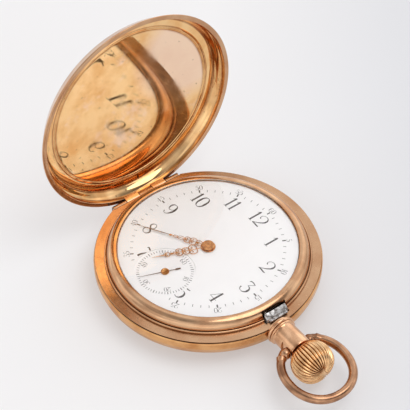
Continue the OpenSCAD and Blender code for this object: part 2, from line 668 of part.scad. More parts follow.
module barrel_arbor() color(steel) translate([barrel_at.x, barrel_at.y, 0]) difference() {
    union() {
        cylinder_from(1, bridge_z + 0.5, plate_z + 0.6);
        cylinder_from(2.1, barrel_z + 0.38, barrel_top - 0.4);
        translate([-0.65, -0.65, bridge_z + 0.02]) cube([1.3, 1.3, 0.6]);
    }
    cylinder_from(0.35 + seat, bridge_z - over, bridge_z + 0.8);
}

// Winding wheels, sunk flush in the barrel bridge

module ratchet_wheel() color(steel) translate([barrel_at.x, barrel_at.y, bridge_z + 0.02]) linear_extrude(0.42)
    difference() {
        polygon(gear_points(ratchet_teeth, ratchet_r, winding_dir + 180));
        square(1.3 + 2 * seat, center = true);
    }

module ratchet_screw() color(blued) translate([barrel_at.x, barrel_at.y, 0]) {
    cylinder_from(1.5, bridge_z - 0.3, bridge_z);
    cylinder_from(0.35, bridge_z - 0.1, bridge_z + 0.6);
}

pinion_tip = 2.02;
contrate_top = stem_z - pinion_tip - 0.06;

module crown_wheel() color(steel) translate([crown_wheel_at.x, crown_wheel_at.y, bridge_z + 0.02])
    difference() {
        union() {
            linear_extrude(0.42) polygon(gear_points(crown_teeth, crown_wheel_r,
                winding_dir + 180 / crown_teeth));
            linear_extrude(contrate_top - bridge_z - 0.02) difference() {
                polygon(gear_points(32, contrate_r + 0.2, 0));
                circle(r = contrate_r - 0.35);
            }
        }
        translate([0, 0, -over]) cylinder(r = 0.9 + run, h = 2, $fn = 32);
        translate([0, 0, -over]) cylinder(r = 1.6 + free, h = 0.28 + over, $fn = 48);
    }

click_at = barrel_at + polar(ratchet_r + 2.5, 118);
click_tip = ratchet_r + tooth(ratchet_r, ratchet_teeth) * 0.75 + 0.06;

module click() color(steel) translate([0, 0, bridge_z + 0.02]) linear_extrude(0.4) difference() {
    union() {
        translate(click_at) circle(r = 0.95, $fn = 48);
        polygon([barrel_at + polar(click_tip + 1.75, 114.5), barrel_at + polar(click_tip + 0.05, 104),
            barrel_at + polar(click_tip, 100), barrel_at + polar(click_tip + 1.3, 101),
            barrel_at + polar(click_tip + 2.9, 116)]);
    }
    translate(click_at) circle(r = 0.4 + run, $fn = 32);
}

module click_spring() color(blued) translate([barrel_at.x, barrel_at.y, bridge_z + 0.05]) {
    sector(click_tip + 3.2, click_tip + 3.4, 92, 113, 0.3);
    translate(polar(click_tip + 3.1, 91)) cylinder(r = 0.5, h = 0.35, $fn = 32);
}

// Keyless work: arbor, pinion that drives the crown wheel, clutch and the setting lever

module winding_arbor() color(steel) difference() {
    union() {
        on_stem(pinion_x - 1.35) cylinder(r = 0.4, h = 1.5, $fn = 32);
        on_stem(pinion_x - 0.4) cylinder(r = 0.75, h = arbor_end - pinion_x + 0.4, $fn = 32);
    }
    translate([arbor_end - 2.2, -0.32, stem_z - 0.32]) cube([3, 0.64, 0.64]);
}

module winding_pinion() color(steel) on_stem(pinion_x + 2.15) difference() {
    linear_extrude(1.5) polygon(gear_points(20, pinion_tip - 0.15, 0));
    translate([0, 0, -over]) cylinder(r = 0.75 + seat, h = 2, $fn = 32);
}

module clutch() color(steel) on_stem(pinion_x + 0.2) difference() {
    union() {
        cylinder(r = 1.1, h = 1.9, $fn = 48);
        linear_extrude(0.6) polygon(gear_points(16, 1.4, 0));
        translate([0, 0, 1.2]) cylinder(r = 1.5, h = 0.7, $fn = 48);
    }
    translate([0, 0, -over]) cylinder(r = 0.75 + run, h = 3, $fn = 32);
}

module setting_lever() color(steel) rotate([0, 0, lever_angle]) translate([0, 0, dial_bottom - 0.5]) {
    translate([move_r - 6.6, -0.7, 0]) cube([6.2, 1.4, 0.42]);
    translate([move_r - 0.7, -0.7, 0]) cube([0.4, 1.4, 0.48]);
}

// Plates and bridges

barrel_feet = [polar(bridge_r - 3.7, 118), polar(bridge_r - 1.47, 26.6), [-10.2, 6.5]];
train_feet = [polar(bridge_r - 3.4, -33.2), polar(bridge_r - 1.95, -66.4), polar(bridge_r - 1.47, -116.6)];
cock_foot = polar(bridge_r - 3.91, 164.8);
pallet_foot = polar(bridge_r - 0.84, -130.5);
dial_feet_angles = [75, 150, 290];
dial_feet_r = move_r - 4.6;
// Room that the keyless work takes up in the barrel bridge, to either side of the stem
keyless_half = 4.4;
crown_boss_r = contrate_r + 1.2;
parting = 0.25;
train_pivots = [third_at, fourth_at, escape_at];
balance_clear = balance_r + 1.05;
split_y = -2.5;

module at_each(list) for (p = list) translate([p.x, p.y, 0]) children();

module pillar_plate() color(nickel) {
    pillar_plate_disc();
    at_each([minute_at]) cylinder_from(0.25, dial_bottom - 0.9, dial_bottom - 0.06);
}

module pillar_plate_disc() difference() {
    translate([0, 0, plate_z]) cylinder(r = move_r, h = plate_t);
    // Recess for the motion work
    at_each([[0, 0], minute_at]) cylinder_from(2.9, dial_bottom - 0.85, dial_bottom + over);
    at_each([[0, 0]]) cylinder_from(0.38 + run, plate_z - over, dial_bottom);
    at_each(concat(train_pivots, [pallet_at, balance_at])) cylinder_from(jewel_r + seat, plate_z - over, dial_bottom + over);
    at_each([barrel_at]) cylinder_from(1 + run, plate_z - over, plate_z + 0.7);
    at_each(concat(barrel_feet, train_feet, [cock_foot, pallet_foot]))
        cylinder_from(0.5 + seat, plate_z - over, plate_z + 0.7);
    case_screw_holes();
    // Opening over the winding pinion and the clutch
    translate([pinion_x - 0.5, -2.25, plate_z - over]) cube([4.9, 4.5, plate_t + 2 * over]);
    rotate([0, 0, lever_angle]) translate([move_r - 6.8, -0.75, dial_bottom - 0.53]) cube([8, 1.5, 1]);
    for (a = dial_feet_angles) rotate([0, 0, a]) {
        translate([dial_feet_r, 0, plate_z - over]) cylinder(r = 0.55, h = plate_t + 2 * over, $fn = 32);
        translate([dial_feet_r, 0, plate_z + plate_t / 2]) rotate([0, 90, 0]) cylinder(r = 0.37, h = 6, $fn = 24);
        translate([move_r - 1.2, 0, plate_z + plate_t / 2]) rotate([0, 90, 0]) cylinder(r = 0.5, h = 2, $fn = 24);
    }
}

module screw_seats(list) at_each(list) {
    cylinder_from(1.05, bridge_z - 1, bridge_z + 0.5);
    cylinder_from(0.55, bridge_z, plate_z + over);
}

module bridge_feet(list) at_each(list) cylinder_from(1.4, bridge_top - over, plate_z);

module barrel_bridge() color(nickel) difference() {
    union() {
        translate([0, 0, bridge_z]) linear_extrude(bridge_t) difference() {
            circle(r = bridge_r);
            translate([-30, split_y - 30]) square([60, 30]);
            translate([cock_foot.x - 26.1, -30]) square([30, 60]);
            translate(balance_at) circle(r = balance_clear);
        }
        bridge_feet(barrel_feet);
        // Floor of the crown wheel's pocket and the block that the keyless work runs in
        intersection() {
            difference() {
                union() {
                    at_each([crown_wheel_at]) cylinder_from(crown_boss_r, bridge_z, bridge_top + 0.8);
                    translate([pinion_x - 1.4, -keyless_half, bridge_z])
                        cube([case_r, 2 * keyless_half, plate_z - bridge_z]);
                }
                at_each([barrel_at]) cylinder_from(barrel_pitch_r + 0.45, bridge_top - 0.01, plate_z + 1);
            }
            cylinder_from(bridge_r, bridge_z, plate_z);
        }
    }
    screw_seats(barrel_feet);
    at_each([[0, 0]]) cylinder_from(1.1 + seat, bridge_z - over, bridge_top + over);
    // Sinks for the winding wheels, the ring that the crown wheel's teeth stand in, and its screw
    at_each([barrel_at]) cylinder_from(ratchet_r + 0.35, bridge_z - over, bridge_z + 0.5);
    at_each([crown_wheel_at]) {
        cylinder_from(crown_wheel_r + 0.35, bridge_z - over, bridge_z + 0.5);
        difference() {
            cylinder_from(contrate_r + 0.5, bridge_z, contrate_top + 0.08);
            cylinder_from(contrate_r - 0.5, bridge_z - over, contrate_top + 1);
        }
        cylinder_from(0.5, bridge_z, bridge_top + 0.6);
    }
    at_each([barrel_at]) cylinder_from(1 + run, bridge_z, bridge_top + over);
    // Click and its spring
    at_each([barrel_at]) translate([0, 0, bridge_z - over])
        sector(ratchet_r, click_tip + 4.2, 88, 132, 0.6);
    at_each([click_at]) cylinder_from(0.4 + seat, bridge_z, bridge_z + 0.82);
    translate([pinion_x - 0.5, -2.25, bridge_top + 0.02]) cube([4.9, 4.5, 5]);
    on_stem(pinion_x - 1.45) cylinder(r = 0.4 + run, h = 2, $fn = 32);
    on_stem(pinion_x + 4) cylinder(r = 0.75 + run, h = 5, $fn = 32);
    case_screw_room();
}

module case_screw_room() for (a = case_screw_angles) rotate([0, 0, a])
    translate([case_screw_r, 0, bridge_z - 1]) cylinder(r = 1.65, h = plate_z - bridge_z + 0.9, $fn = 32);

module train_bridge() color(nickel) difference() {
    union() {
        translate([0, 0, bridge_z]) linear_extrude(bridge_t) difference() {
            circle(r = bridge_r);
            translate([-30, split_y - parting]) square([60, 30]);
            translate(balance_at) circle(r = balance_clear);
            translate(crown_wheel_at) circle(r = crown_boss_r + parting);
            translate([pinion_x - 1.4 - parting, -keyless_half - parting]) square([case_r, 8]);
            polygon([balance_at, balance_at + polar(30, 140), balance_at + polar(30, 262)]);
        }
        bridge_feet(train_feet);
    }
    screw_seats(train_feet);
    at_each(train_pivots) cylinder_from(jewel_r + seat, bridge_z - over, bridge_top + over);
    case_screw_room();
}

module balance_cock() color(nickel) difference() {
    union() {
        translate([0, 0, bridge_z]) linear_extrude(plate_z - bridge_z) intersection() {
            circle(r = bridge_r);
            translate(cock_foot - [4.8, 3.5]) square([8.4, 7.6]);
        }
        translate([0, 0, cock_z]) linear_extrude(cock_t) {
            translate(balance_at) circle(r = 2.3);
            polygon([balance_at + [-2.2, 0.6], cock_foot + [-2.1, -1.2], cock_foot + [-1.4, 1.8],
                cock_foot + [3.2, 1.8], cock_foot + [3.4, -2], balance_at + [2.2, 0.6]]);
        }
        at_each([balance_at]) cylinder_from(1.15, cock_z - 0.25, cock_z + over);
        at_each([balance_at + polar(4.35, 60)]) cylinder_from(0.35, cock_z + 0.3, cock_z + cock_t + 0.4);
        at_each([balance_at]) rotate([0, 0, 60]) translate([1.8, -0.45, cock_z + 0.25]) cube([2.6, 0.9, cock_t - 0.25]);
    }
    at_each([balance_at]) cylinder_from(jewel_r + seat, cock_z + 0.2, cock_z + cock_t + over);
    at_each([cock_foot]) {
        cylinder_from(1.05, cock_z - 1, bridge_z + 0.5);
        cylinder_from(0.55, bridge_z, plate_z + over);
    }
}

pallet_bridge_z = bridge_top + 0.68;

module pallet_bridge() color(nickel) difference() {
    dir = atan2(pallet_foot.y - pallet_at.y, pallet_foot.x - pallet_at.x);
    intersection() {
        union() {
            at_each([pallet_at]) cylinder_from(1.2, pallet_bridge_z, pallet_bridge_z + 0.32);
            at_each([pallet_at]) rotate([0, 0, dir]) translate([0, -0.9, pallet_bridge_z])
                cube([norm(pallet_foot - pallet_at), 1.8, 0.32]);
            at_each([pallet_foot]) cylinder_from(1.4, pallet_bridge_z, plate_z);
        }
        cylinder_from(bridge_r, 0, plate_z);
    }
    at_each([pallet_at]) cylinder_from(0.55 + seat, pallet_bridge_z - over, pallet_bridge_z + 1);
    at_each([pallet_foot]) cylinder_from(0.55, pallet_bridge_z - over, plate_z + over);
}

module plate_screws() color(blued) {
    at_each(concat(barrel_feet, train_feet, [cock_foot])) plate_screw(bridge_z + 0.05, 0.95);
    at_each([pallet_foot]) plate_screw(pallet_bridge_z - 0.42, 0.8);
    // Shouldered screws of the crown wheel and the click
    at_each([crown_wheel_at]) {
        cylinder_from(1.6, bridge_z - 0.05, bridge_z + 0.26);
        cylinder_from(0.9, bridge_z + 0.2, bridge_z + 0.48);
        cylinder_from(0.48, bridge_z + 0.4, bridge_top + 0.5);
    }
    at_each([click_at]) {
        cylinder_from(0.65, bridge_z - 0.2, bridge_z);
        cylinder_from(0.4, bridge_z - 0.05, bridge_z + 0.8);
    }
}

module plate_screw(z, head_r) {
    difference() {
        cylinder_from(head_r, z, z + 0.4);
        translate([-head_r - over, -0.12, z - over]) cube([2 * (head_r + over), 0.24, 0.25]);
    }
    cylinder_from(0.5, z + 0.3, plate_z + 0.6);
}

module dial_screws() color(blued) for (a = dial_feet_angles) rotate([0, 0, a])
    translate([dial_feet_r + 0.56, 0, plate_z + plate_t / 2]) rotate([0, 90, 0]) {
        cylinder(r = 0.35, h = move_r - dial_feet_r - 1, $fn = 24);
        translate([0, 0, move_r - dial_feet_r - 1.7]) cylinder(r = 0.48, h = 0.8, $fn = 24);
    }

module jewel(at, z, hole, r = jewel_r) translate([at.x, at.y, z]) difference() {
    cylinder(r = r, h = 0.35, $fn = 32);
    translate([0, 0, -over]) cylinder(r = hole, h = 1, $fn = 24);
}

module jewels() color(ruby) {
    for (p = train_pivots) jewel(p, bridge_z + 0.3, pivot_r + run);
    for (p = concat(train_pivots, [pallet_at, balance_at])) jewel(p, plate_z + 0.05, pivot_r + run);
    jewel(balance_at, cock_z + 0.25, pivot_r + run);
    jewel(pallet_at, pallet_bridge_z, pivot_r + run, 0.55);
    jewel([0, 0], bridge_z + 0.3, 0.35 + run, 1.1);
}

// Balance with its timing screws, staff and hairspring, and the regulator on the cock

balance_z = cock_z + cock_t + 0.5;

module balance_wheel() color(brass) at_each([balance_at]) translate([0, 0, balance_z]) {
    difference() {
        cylinder(r = balance_r, h = 0.7);
        translate([0, 0, -over]) cylinder(r = balance_r - 0.8, h = 1);
    }
    linear_extrude(0.28) difference() {
        union() {
            circle(r = 1);
            translate([-balance_r + 0.4, -0.45]) square([2 * balance_r - 0.8, 0.9]);
        }
        circle(r = 0.45 + seat, $fn = 32);
    }
}

module balance_screws() color(gold) at_each([balance_at]) for (k = [0:13]) rotate([0, 0, (k + 0.5) * 360 / 14])
    translate([balance_r + 0.01, 0, balance_z + 0.35]) rotate([0, 90, 0]) cylinder(r = 0.3, h = 0.5, $fn = 24);

module balance_staff() color(steel) at_each([balance_at]) {
    cylinder_from(pivot_r, cock_z + 0.3, plate_z + 0.35);
    cylinder_from(0.45, cock_z + cock_t + 0.05, plate_z - 0.1);
    cylinder_from(0.8, escape_wheel_z + 0.45, escape_wheel_z + 0.7);
    translate(polar(0.6, fork_dir + 180)) cylinder_from(0.13, escape_wheel_z, escape_wheel_z + 0.5);
}

module hairspring() color(blued) at_each([balance_at]) translate([0, 0, cock_z + cock_t + 0.12]) {
    difference() {
        cylinder(r = 0.85, h = 0.25, $fn = 32);
        translate([0, 0, -over]) cylinder(r = 0.45 + seat, h = 1, $fn = 32);
    }
    linear_extrude(0.22) polygon(spiral(0.78, 3.9, hairspring_turns, 0.1, 60));
}

module regulator() color(steel) at_each([balance_at]) translate([0, 0, cock_z - 0.22]) {
    linear_extrude(0.2) difference() {
        union() {
            circle(r = 2);
            rotate(105) translate([0, -0.22]) square([6.4, 0.44]);
            rotate(325) translate([0, -0.3]) square([4.2, 0.6]);
        }
        circle(r = 1.15 + run);
    }
    rotate([0, 0, 325]) for (s = [-1, 1]) translate([3.86 + s * 0.16, 0, 0.1]) cylinder(r = 0.06, h = 1.1, $fn = 16);
}

// Motion work under the dial

module cannon_pinion() color(steel) difference() {
    union() {
        cylinder_from(0.62, dial_bottom - 0.8, dial_z + 0.6);
        translate([0, 0, dial_bottom - 0.8]) linear_extrude(0.35)
            polygon(gear_points(motion_cannon, pitch(motion_gap, motion_cannon, motion_minute), minute_dir));
    }
    cylinder_from(0.38 + seat, dial_bottom - 1, dial_z + 1);
}

module minute_wheel() color(brass) at_each([minute_at]) difference() {
    union() {
        translate([0, 0, dial_bottom - 0.78]) linear_extrude(0.25) polygon(gear_points(motion_minute,
            pitch(motion_gap, motion_minute, motion_cannon), minute_dir + 180 + 180 / motion_minute));
        translate([0, 0, dial_bottom - 0.6]) linear_extrude(0.52) polygon(gear_points(motion_pinion,
            pitch(motion_gap, motion_pinion, motion_hour), minute_dir + 180));
    }
    cylinder_from(0.25 + run, dial_bottom - 1, dial_bottom);
}

module hour_wheel() color(brass) difference() {
    union() {
        cylinder_from(0.98, dial_bottom - 0.38, dial_z + 0.38);
        translate([0, 0, dial_bottom - 0.38]) linear_extrude(0.25) polygon(gear_points(motion_hour,
            pitch(motion_gap, motion_hour, motion_pinion), minute_dir + 180 / motion_hour));
    }
    cylinder_from(0.62 + run, dial_bottom - 1, dial_z + 1);
}

// Dial: enamel on copper, with a sunk seconds dial and three feet

module dial() color(enamel) difference() {
    union() {
        translate([0, 0, dial_bottom]) cylinder(r = dial_r, h = dial_t);
        for (a = dial_feet_angles) rotate([0, 0, a]) translate([dial_feet_r, 0, dial_bottom - 1.2])
            cylinder(r = 0.5, h = 1.3, $fn = 32);
    }
    cylinder_from(1.15, 0, dial_z + 1);
    at_each([fourth_at]) cylinder_from(sub_r, dial_z - sunk, dial_z + 1);
    at_each([fourth_at]) cylinder_from(pivot_r + 0.15, 0, dial_z + 1);
}

// Hands: pierced scrolls near the boss and a fine blade

module hand(z, t, a, boss, hole, len, scroll, blade) translate([0, 0, z]) rotate([0, 0, clock(a)])
    linear_extrude(t) difference() {
        union() {
            circle(r = boss, $fn = 64);
            translate([0, -0.16]) square([len * 0.62, 0.32]);
            for (k = [0:3]) translate([boss + scroll * (0.35 + 0.95 * k), 0]) difference() {
                circle(r = scroll * (1 - 0.14 * k), $fn = 48);
                circle(r = scroll * (0.62 - 0.12 * k), $fn = 48);
            }
            polygon([[len * 0.4, -blade], [len * 0.55, -blade * 1.4], [len, -0.05], [len, 0.05],
                [len * 0.55, blade * 1.4], [len * 0.4, blade]]);
        }
        circle(r = hole, $fn = 48);
    }

module hour_hand() color(rose) hand(dial_z + 0.2, 0.12, hour_angle, 1.7, 0.98 + seat, hour_len, 1.2, 0.2);
module minute_hand() color(rose) hand(dial_z + 0.42, 0.1, minute_angle, 1.5, 0.62 + seat, minute_len, 1.05, 0.16);

module seconds_hand() color(rose) at_each([fourth_at]) translate([0, 0, dial_z - sunk + 0.12])
    rotate([0, 0, clock(second_angle)]) linear_extrude(0.1) difference() {
        union() {
            circle(r = 0.95, $fn = 48);
            polygon([[0, -0.12], [second_len, -0.05], [second_len, 0.05], [0, 0.12]]);
            polygon([[0, 0.12], [-2.4, 0.14], [-2.6, 0.3], [-3.6, 0.26], [-3.6, -0.26], [-2.6, -0.3], [-2.4, -0.14],
                [0, -0.12]]);
        }
        circle(r = pivot_r + seat, $fn = 32);
    }

case_center();
bezel();
crystal();
front_cover();
front_hinge_pin();
back_cover();
back_hinge_pin();
cuvette();
pendant();
pendant_sleeve();
stem();
crown();
bow();
lock_spring();
lift_spring();
case_screws();
dial();
hour_hand();
minute_hand();
seconds_hand();
pillar_plate();
barrel_bridge();
train_bridge();
balance_cock();
pallet_bridge();
plate_screws();
dial_screws();
jewels();
barrel();
barrel_cover();
mainspring();
barrel_arbor();
ratchet_wheel();
ratchet_screw();
crown_wheel();
click();
click_spring();
winding_arbor();
winding_pinion();
clutch();
setting_lever();
center_wheel();
center_arbor();
third_wheel();
third_arbor();
fourth_wheel();
fourth_arbor();
escape_wheel();
escape_arbor();
pallet_fork();
pallet_stones();
balance_wheel();
balance_screws();
balance_staff();
hairspring();
regulator();
cannon_pinion();
minute_wheel();
hour_wheel();
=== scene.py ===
import json
from math import atan2, cos, exp, hypot, pi, radians, sin

import bmesh
import bpy
from mathutils import Matrix, Vector


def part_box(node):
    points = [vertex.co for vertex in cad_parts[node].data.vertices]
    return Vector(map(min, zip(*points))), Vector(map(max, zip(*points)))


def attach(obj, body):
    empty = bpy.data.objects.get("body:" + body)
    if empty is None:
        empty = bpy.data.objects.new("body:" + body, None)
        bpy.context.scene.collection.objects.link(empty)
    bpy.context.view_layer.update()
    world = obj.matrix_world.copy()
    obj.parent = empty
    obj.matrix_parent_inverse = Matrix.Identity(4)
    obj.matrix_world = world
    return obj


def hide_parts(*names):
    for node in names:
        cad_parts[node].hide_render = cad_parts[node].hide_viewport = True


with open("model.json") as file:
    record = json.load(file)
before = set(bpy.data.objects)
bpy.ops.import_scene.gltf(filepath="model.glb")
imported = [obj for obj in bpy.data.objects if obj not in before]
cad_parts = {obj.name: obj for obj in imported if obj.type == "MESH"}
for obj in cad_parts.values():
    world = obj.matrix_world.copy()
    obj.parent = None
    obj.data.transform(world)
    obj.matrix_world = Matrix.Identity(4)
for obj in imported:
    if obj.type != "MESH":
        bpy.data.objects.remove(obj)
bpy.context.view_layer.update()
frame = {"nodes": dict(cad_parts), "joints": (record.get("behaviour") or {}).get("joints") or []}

# Camera, at the place and with the lens that the view of the watch calls for. It looks down on the
# dial from the side of the pendant and the six, from about 43 cm, with the dial near the middle.
MM = 0.001
CAMERA_AT = Vector((217.82, -162.66, 320.05)) * MM
AIM_AT = Vector((-10.90, 7.21, 9.5)) * MM
SENSOR_WIDTH = 36
FOCAL_LENGTH = 160.4

camera_data = bpy.data.cameras.new("camera")
camera_data.sensor_width = SENSOR_WIDTH
camera_data.lens = FOCAL_LENGTH
camera = bpy.data.objects.new("camera", camera_data)
camera.location = CAMERA_AT
camera.rotation_euler = (AIM_AT - CAMERA_AT).to_track_quat("-Z", "Y").to_euler()
bpy.context.collection.objects.link(camera)
bpy.context.scene.camera = camera
bpy.context.scene.view_settings.view_transform = "Standard"

# Table top: a wide sheet of matt white card that the watch lies on, in a room with pale walls. One large
# soft lamp overhead, towards the pendant and twelve, gives the metal its sheen and a soft shadow.
FLOOR_SIZE = 4000 * MM
# Turn and width of the painted shade that darkens the card beyond the pendant and the twelve.
PAINTED_SHADE_TURN = -53.5
PAINTED_SHADE_WIDTH = 50 * MM
LAMP_AT = Vector((168, 150, 578)) * MM
LAMP_SIZE = 0.36
LAMP_POWER = 0.85
WALL_LIGHT = "E4E3E1"
ROOM_LIGHT = "C8C8CA"
# Parts of the room that the metal shows: the way to each, the cosines where it starts and is full, its level.
ROOM_PATCHES = (((-0.08, -0.45, 0.89), 0.9, 0.94, 0.5), ((0.54, 0.4, 0.74), 0.88, 0.97, 0.35),
                ((-0.54, 0.77, 0.32), 0.955, 0.985, 1.5))


def linear(code):
    """The linear colour of an sRGB hex code."""
    channels = [int(code[i:i + 2], 16) / 255 for i in (0, 2, 4)]
    return [c / 12.92 if c <= 0.04045 else ((c + 0.055) / 1.055) ** 2.4 for c in channels] + [1]


def fill(tree, node, inputs):
    """Gives a node's inputs values or links."""
    for socket, value in inputs.items():
        if isinstance(value, bpy.types.NodeSocket):
            tree.links.new(value, node.inputs[socket])
        else:
            node.inputs[socket].default_value = value


def add_node(tree, kind, inputs=(), **settings):
    """Adds a node, sets its properties, and fills its inputs."""
    node = tree.nodes.new(kind)
    for key, value in settings.items():
        setattr(node, key, value)
    fill(tree, node, dict(inputs))
    return node


def new_material(name):
    """An empty material, its node tree, its shader, and a node output that tells the place on the object."""
    material = bpy.data.materials.new(name)
    material.use_nodes = True
    tree = material.node_tree
    tree.nodes.clear()
    shader = add_node(tree, "ShaderNodeBsdfPrincipled")
    add_node(tree, "ShaderNodeOutputMaterial", {"Surface": shader.outputs[0]})
    return material, tree, shader, add_node(tree, "ShaderNodeTexCoord").outputs["Object"]


# Matt card gives the eye an even pale ground, painted a little darker beyond the pendant and the twelve as a
# painted fall-off of the light. It also glows faintly: painted light that keeps the shadows on it faint.
card, tree, shader, place = new_material("white_card_painted_falloff_and_glow")
across = add_node(tree, "ShaderNodeMapping", {"Vector": place, "Rotation": (0, 0, radians(PAINTED_SHADE_TURN))})
side = add_node(tree, "ShaderNodeSeparateXYZ", {0: across.outputs[0]})
painted_falloff = add_node(tree, "ShaderNodeMapRange", {"Value": side.outputs["X"], "From Max": PAINTED_SHADE_WIDTH})
tone = add_node(tree, "ShaderNodeMix", {0: painted_falloff.outputs[0], 6: linear("CBCACA"), 7: linear("BCBCBE")},
                data_type="RGBA")
# The emission is painted light: the card glows by itself, so the watch's shadow on it stays faint.
fill(tree, shader, {"Base Color": tone.outputs[2], "Emission Color": tone.outputs[2],
                    "Emission Strength": 0.55, "Roughness": 0.85, "Specular IOR Level": 0.2})

bm = bmesh.new()
bmesh.ops.create_grid(bm, x_segments=1, y_segments=1, size=FLOOR_SIZE / 2)
floor_mesh = bpy.data.meshes.new("floor")
bm.to_mesh(floor_mesh)
bm.free()
floor = bpy.data.objects.new("floor", floor_mesh)
floor.data.materials.append(card)
bpy.context.collection.objects.link(floor)

world = bpy.data.worlds.new("pale_room")
world.use_nodes = True
bpy.context.scene.world = world
tree = world.node_tree
tree.nodes.clear()
place = add_node(tree, "ShaderNodeTexCoord").outputs["Generated"]
height = add_node(tree, "ShaderNodeSeparateXYZ", {0: place})
rise = add_node(tree, "ShaderNodeMapRange", {"Value": height.outputs["Z"], "From Min": 0.02, "From Max": 0.4})
room = add_node(tree, "ShaderNodeMix", {0: rise.outputs[0], 6: linear(WALL_LIGHT), 7: linear(ROOM_LIGHT)},
                data_type="RGBA")
patches = add_node(tree, "ShaderNodeTexNoise", {"Vector": place, "Scale": 2.1, "Detail": 1})
patch = add_node(tree, "ShaderNodeMapRange", {
    "Value": patches.outputs["Fac"], "From Min": 0.34, "From Max": 0.66, "To Min": 0.92, "To Max": 2.15})
strength = patch.outputs[0]
for toward, start, full, level in ROOM_PATCHES:
    lean = add_node(tree, "ShaderNodeVectorMath", {0: place, 1: toward}, operation="DOT_PRODUCT")
    share = add_node(tree, "ShaderNodeMapRange", {
        "Value": lean.outputs["Value"], "From Min": start, "From Max": full, "To Min": 1, "To Max": level},
        interpolation_type="SMOOTHSTEP")
    scaled = add_node(tree, "ShaderNodeMath", {0: strength, 1: share.outputs[0]}, operation="MULTIPLY")
    strength = scaled.outputs[0]
background = add_node(tree, "ShaderNodeBackground", {"Color": room.outputs[2], "Strength": strength})
add_node(tree, "ShaderNodeOutputWorld", {"Surface": background.outputs[0]})

lamp_data = bpy.data.lights.new("soft_lamp", "AREA")
lamp_data.size = LAMP_SIZE
lamp_data.energy = LAMP_POWER
lamp = bpy.data.objects.new("soft_lamp", lamp_data)
lamp.location = LAMP_AT
lamp.rotation_euler = (Vector((0, 0, 0)) - LAMP_AT).to_track_quat("-Z", "Y").to_euler()
bpy.context.collection.objects.link(lamp)

# Plates and bridges of the movement: cast nickel, milled flat, then finished with broad soft stripes. They
# screw together round the train, and three screws whose heads reach under the case's seat hold them in it.
GRAIN = 1 / MM             # pattern repeats per metre for one repeat a millimetre
RUB_MM = 1.1
RUB_ROUGHNESS = 0.14       # how much rougher the most rubbed patches are
HAIR_MM = 0.12             # coarser than real hair scratches, so that they show
DIRT_AND_SHADE = "4A2A16"
STRIPE_MM = 1.6


def from_axis(tree, place):
    """A node output that tells the distance of a place from the dial's axis."""
    split = add_node(tree, "ShaderNodeSeparateXYZ", {0: place})
    flat = add_node(tree, "ShaderNodeCombineXYZ", {"X": split.outputs["X"], "Y": split.outputs["Y"]})
    return add_node(tree, "ShaderNodeVectorMath", {0: flat.outputs[0]}, operation="LENGTH").outputs["Value"]


def worn_metal(name, colour, shade, roughness, cloud_mm, line_mm=0, line_depth=0, dirt_and_shade_mm=0):
    """Metal that was carried for years: clouds of a second tone, rubbed patches, hair scratches and, if asked,
    turned lines round the dial's axis and a dark brown in corners from ambient occlusion, which is painted
    shade as well as old dirt. The eye gets a coloured, slightly soft mirror."""
    material, tree, shader, place = new_material(name)
    clouds = add_node(tree, "ShaderNodeTexNoise", {"Vector": place, "Scale": GRAIN / cloud_mm, "Detail": 4})
    cloud = add_node(tree, "ShaderNodeMapRange", {
        "Value": clouds.outputs["Fac"], "From Min": 0.4, "From Max": 0.72, "To Max": 0.8})
    tone = add_node(tree, "ShaderNodeMix", {0: cloud.outputs[0], 6: linear(colour), 7: linear(shade)},
                    data_type="RGBA")
    # Ambient occlusion darkens corners to a dark brown: painted shade, which also stands for old dirt.
    if dirt_and_shade_mm:
        corners = add_node(tree, "ShaderNodeAmbientOcclusion", {"Distance": dirt_and_shade_mm * MM}, samples=6)
        dirt = add_node(tree, "ShaderNodeMapRange", {
            "Value": corners.outputs["AO"], "From Min": 0.3, "From Max": 0.75, "To Min": 0.75, "To Max": 0})
        tone = add_node(tree, "ShaderNodeMix", {0: dirt.outputs[0], 6: tone.outputs[2], 7: linear(DIRT_AND_SHADE)},
                        data_type="RGBA")
    rubs = add_node(tree, "ShaderNodeTexNoise", {"Vector": place, "Scale": GRAIN / RUB_MM, "Detail": 5})
    rub = add_node(tree, "ShaderNodeMapRange", {
        "Value": rubs.outputs["Fac"], "From Min": 0.35, "From Max": 0.75,
        "To Min": roughness, "To Max": roughness + RUB_ROUGHNESS})
    stretch = add_node(tree, "ShaderNodeMapping", {
        "Vector": place, "Rotation": (0.3, 0.2, 0.9), "Scale": (GRAIN / HAIR_MM, GRAIN / 3, GRAIN / 3)})
    hairs = add_node(tree, "ShaderNodeTexNoise", {"Vector": stretch.outputs[0], "Scale": 1, "Detail": 3})
    relief = add_node(tree, "ShaderNodeBump", {
        "Strength": 0.08, "Distance": 0.02 * MM, "Height": hairs.outputs["Fac"]})
    if line_mm:
        step = add_node(tree, "ShaderNodeMath", {0: from_axis(tree, place), 1: GRAIN / line_mm},
                        operation="MULTIPLY")
        lines = add_node(tree, "ShaderNodeTexNoise", {"W": step.outputs[0], "Scale": 1, "Detail": 2},
                         noise_dimensions="1D")
        relief = add_node(tree, "ShaderNodeBump", {
            "Strength": line_depth, "Distance": 0.03 * MM, "Height": lines.outputs["Fac"],
            "Normal": relief.outputs[0]})
    fill(tree, shader, {"Base Color": tone.outputs[2], "Roughness": rub.outputs[0],
                        "Normal": relief.outputs[0], "Metallic": 1})
    return material


def dress(material, *names):
    """Gives CAD pieces their finish."""
    for name in names:
        for material_slot in frame["nodes"][name].material_slots:
            material_slot.material = material


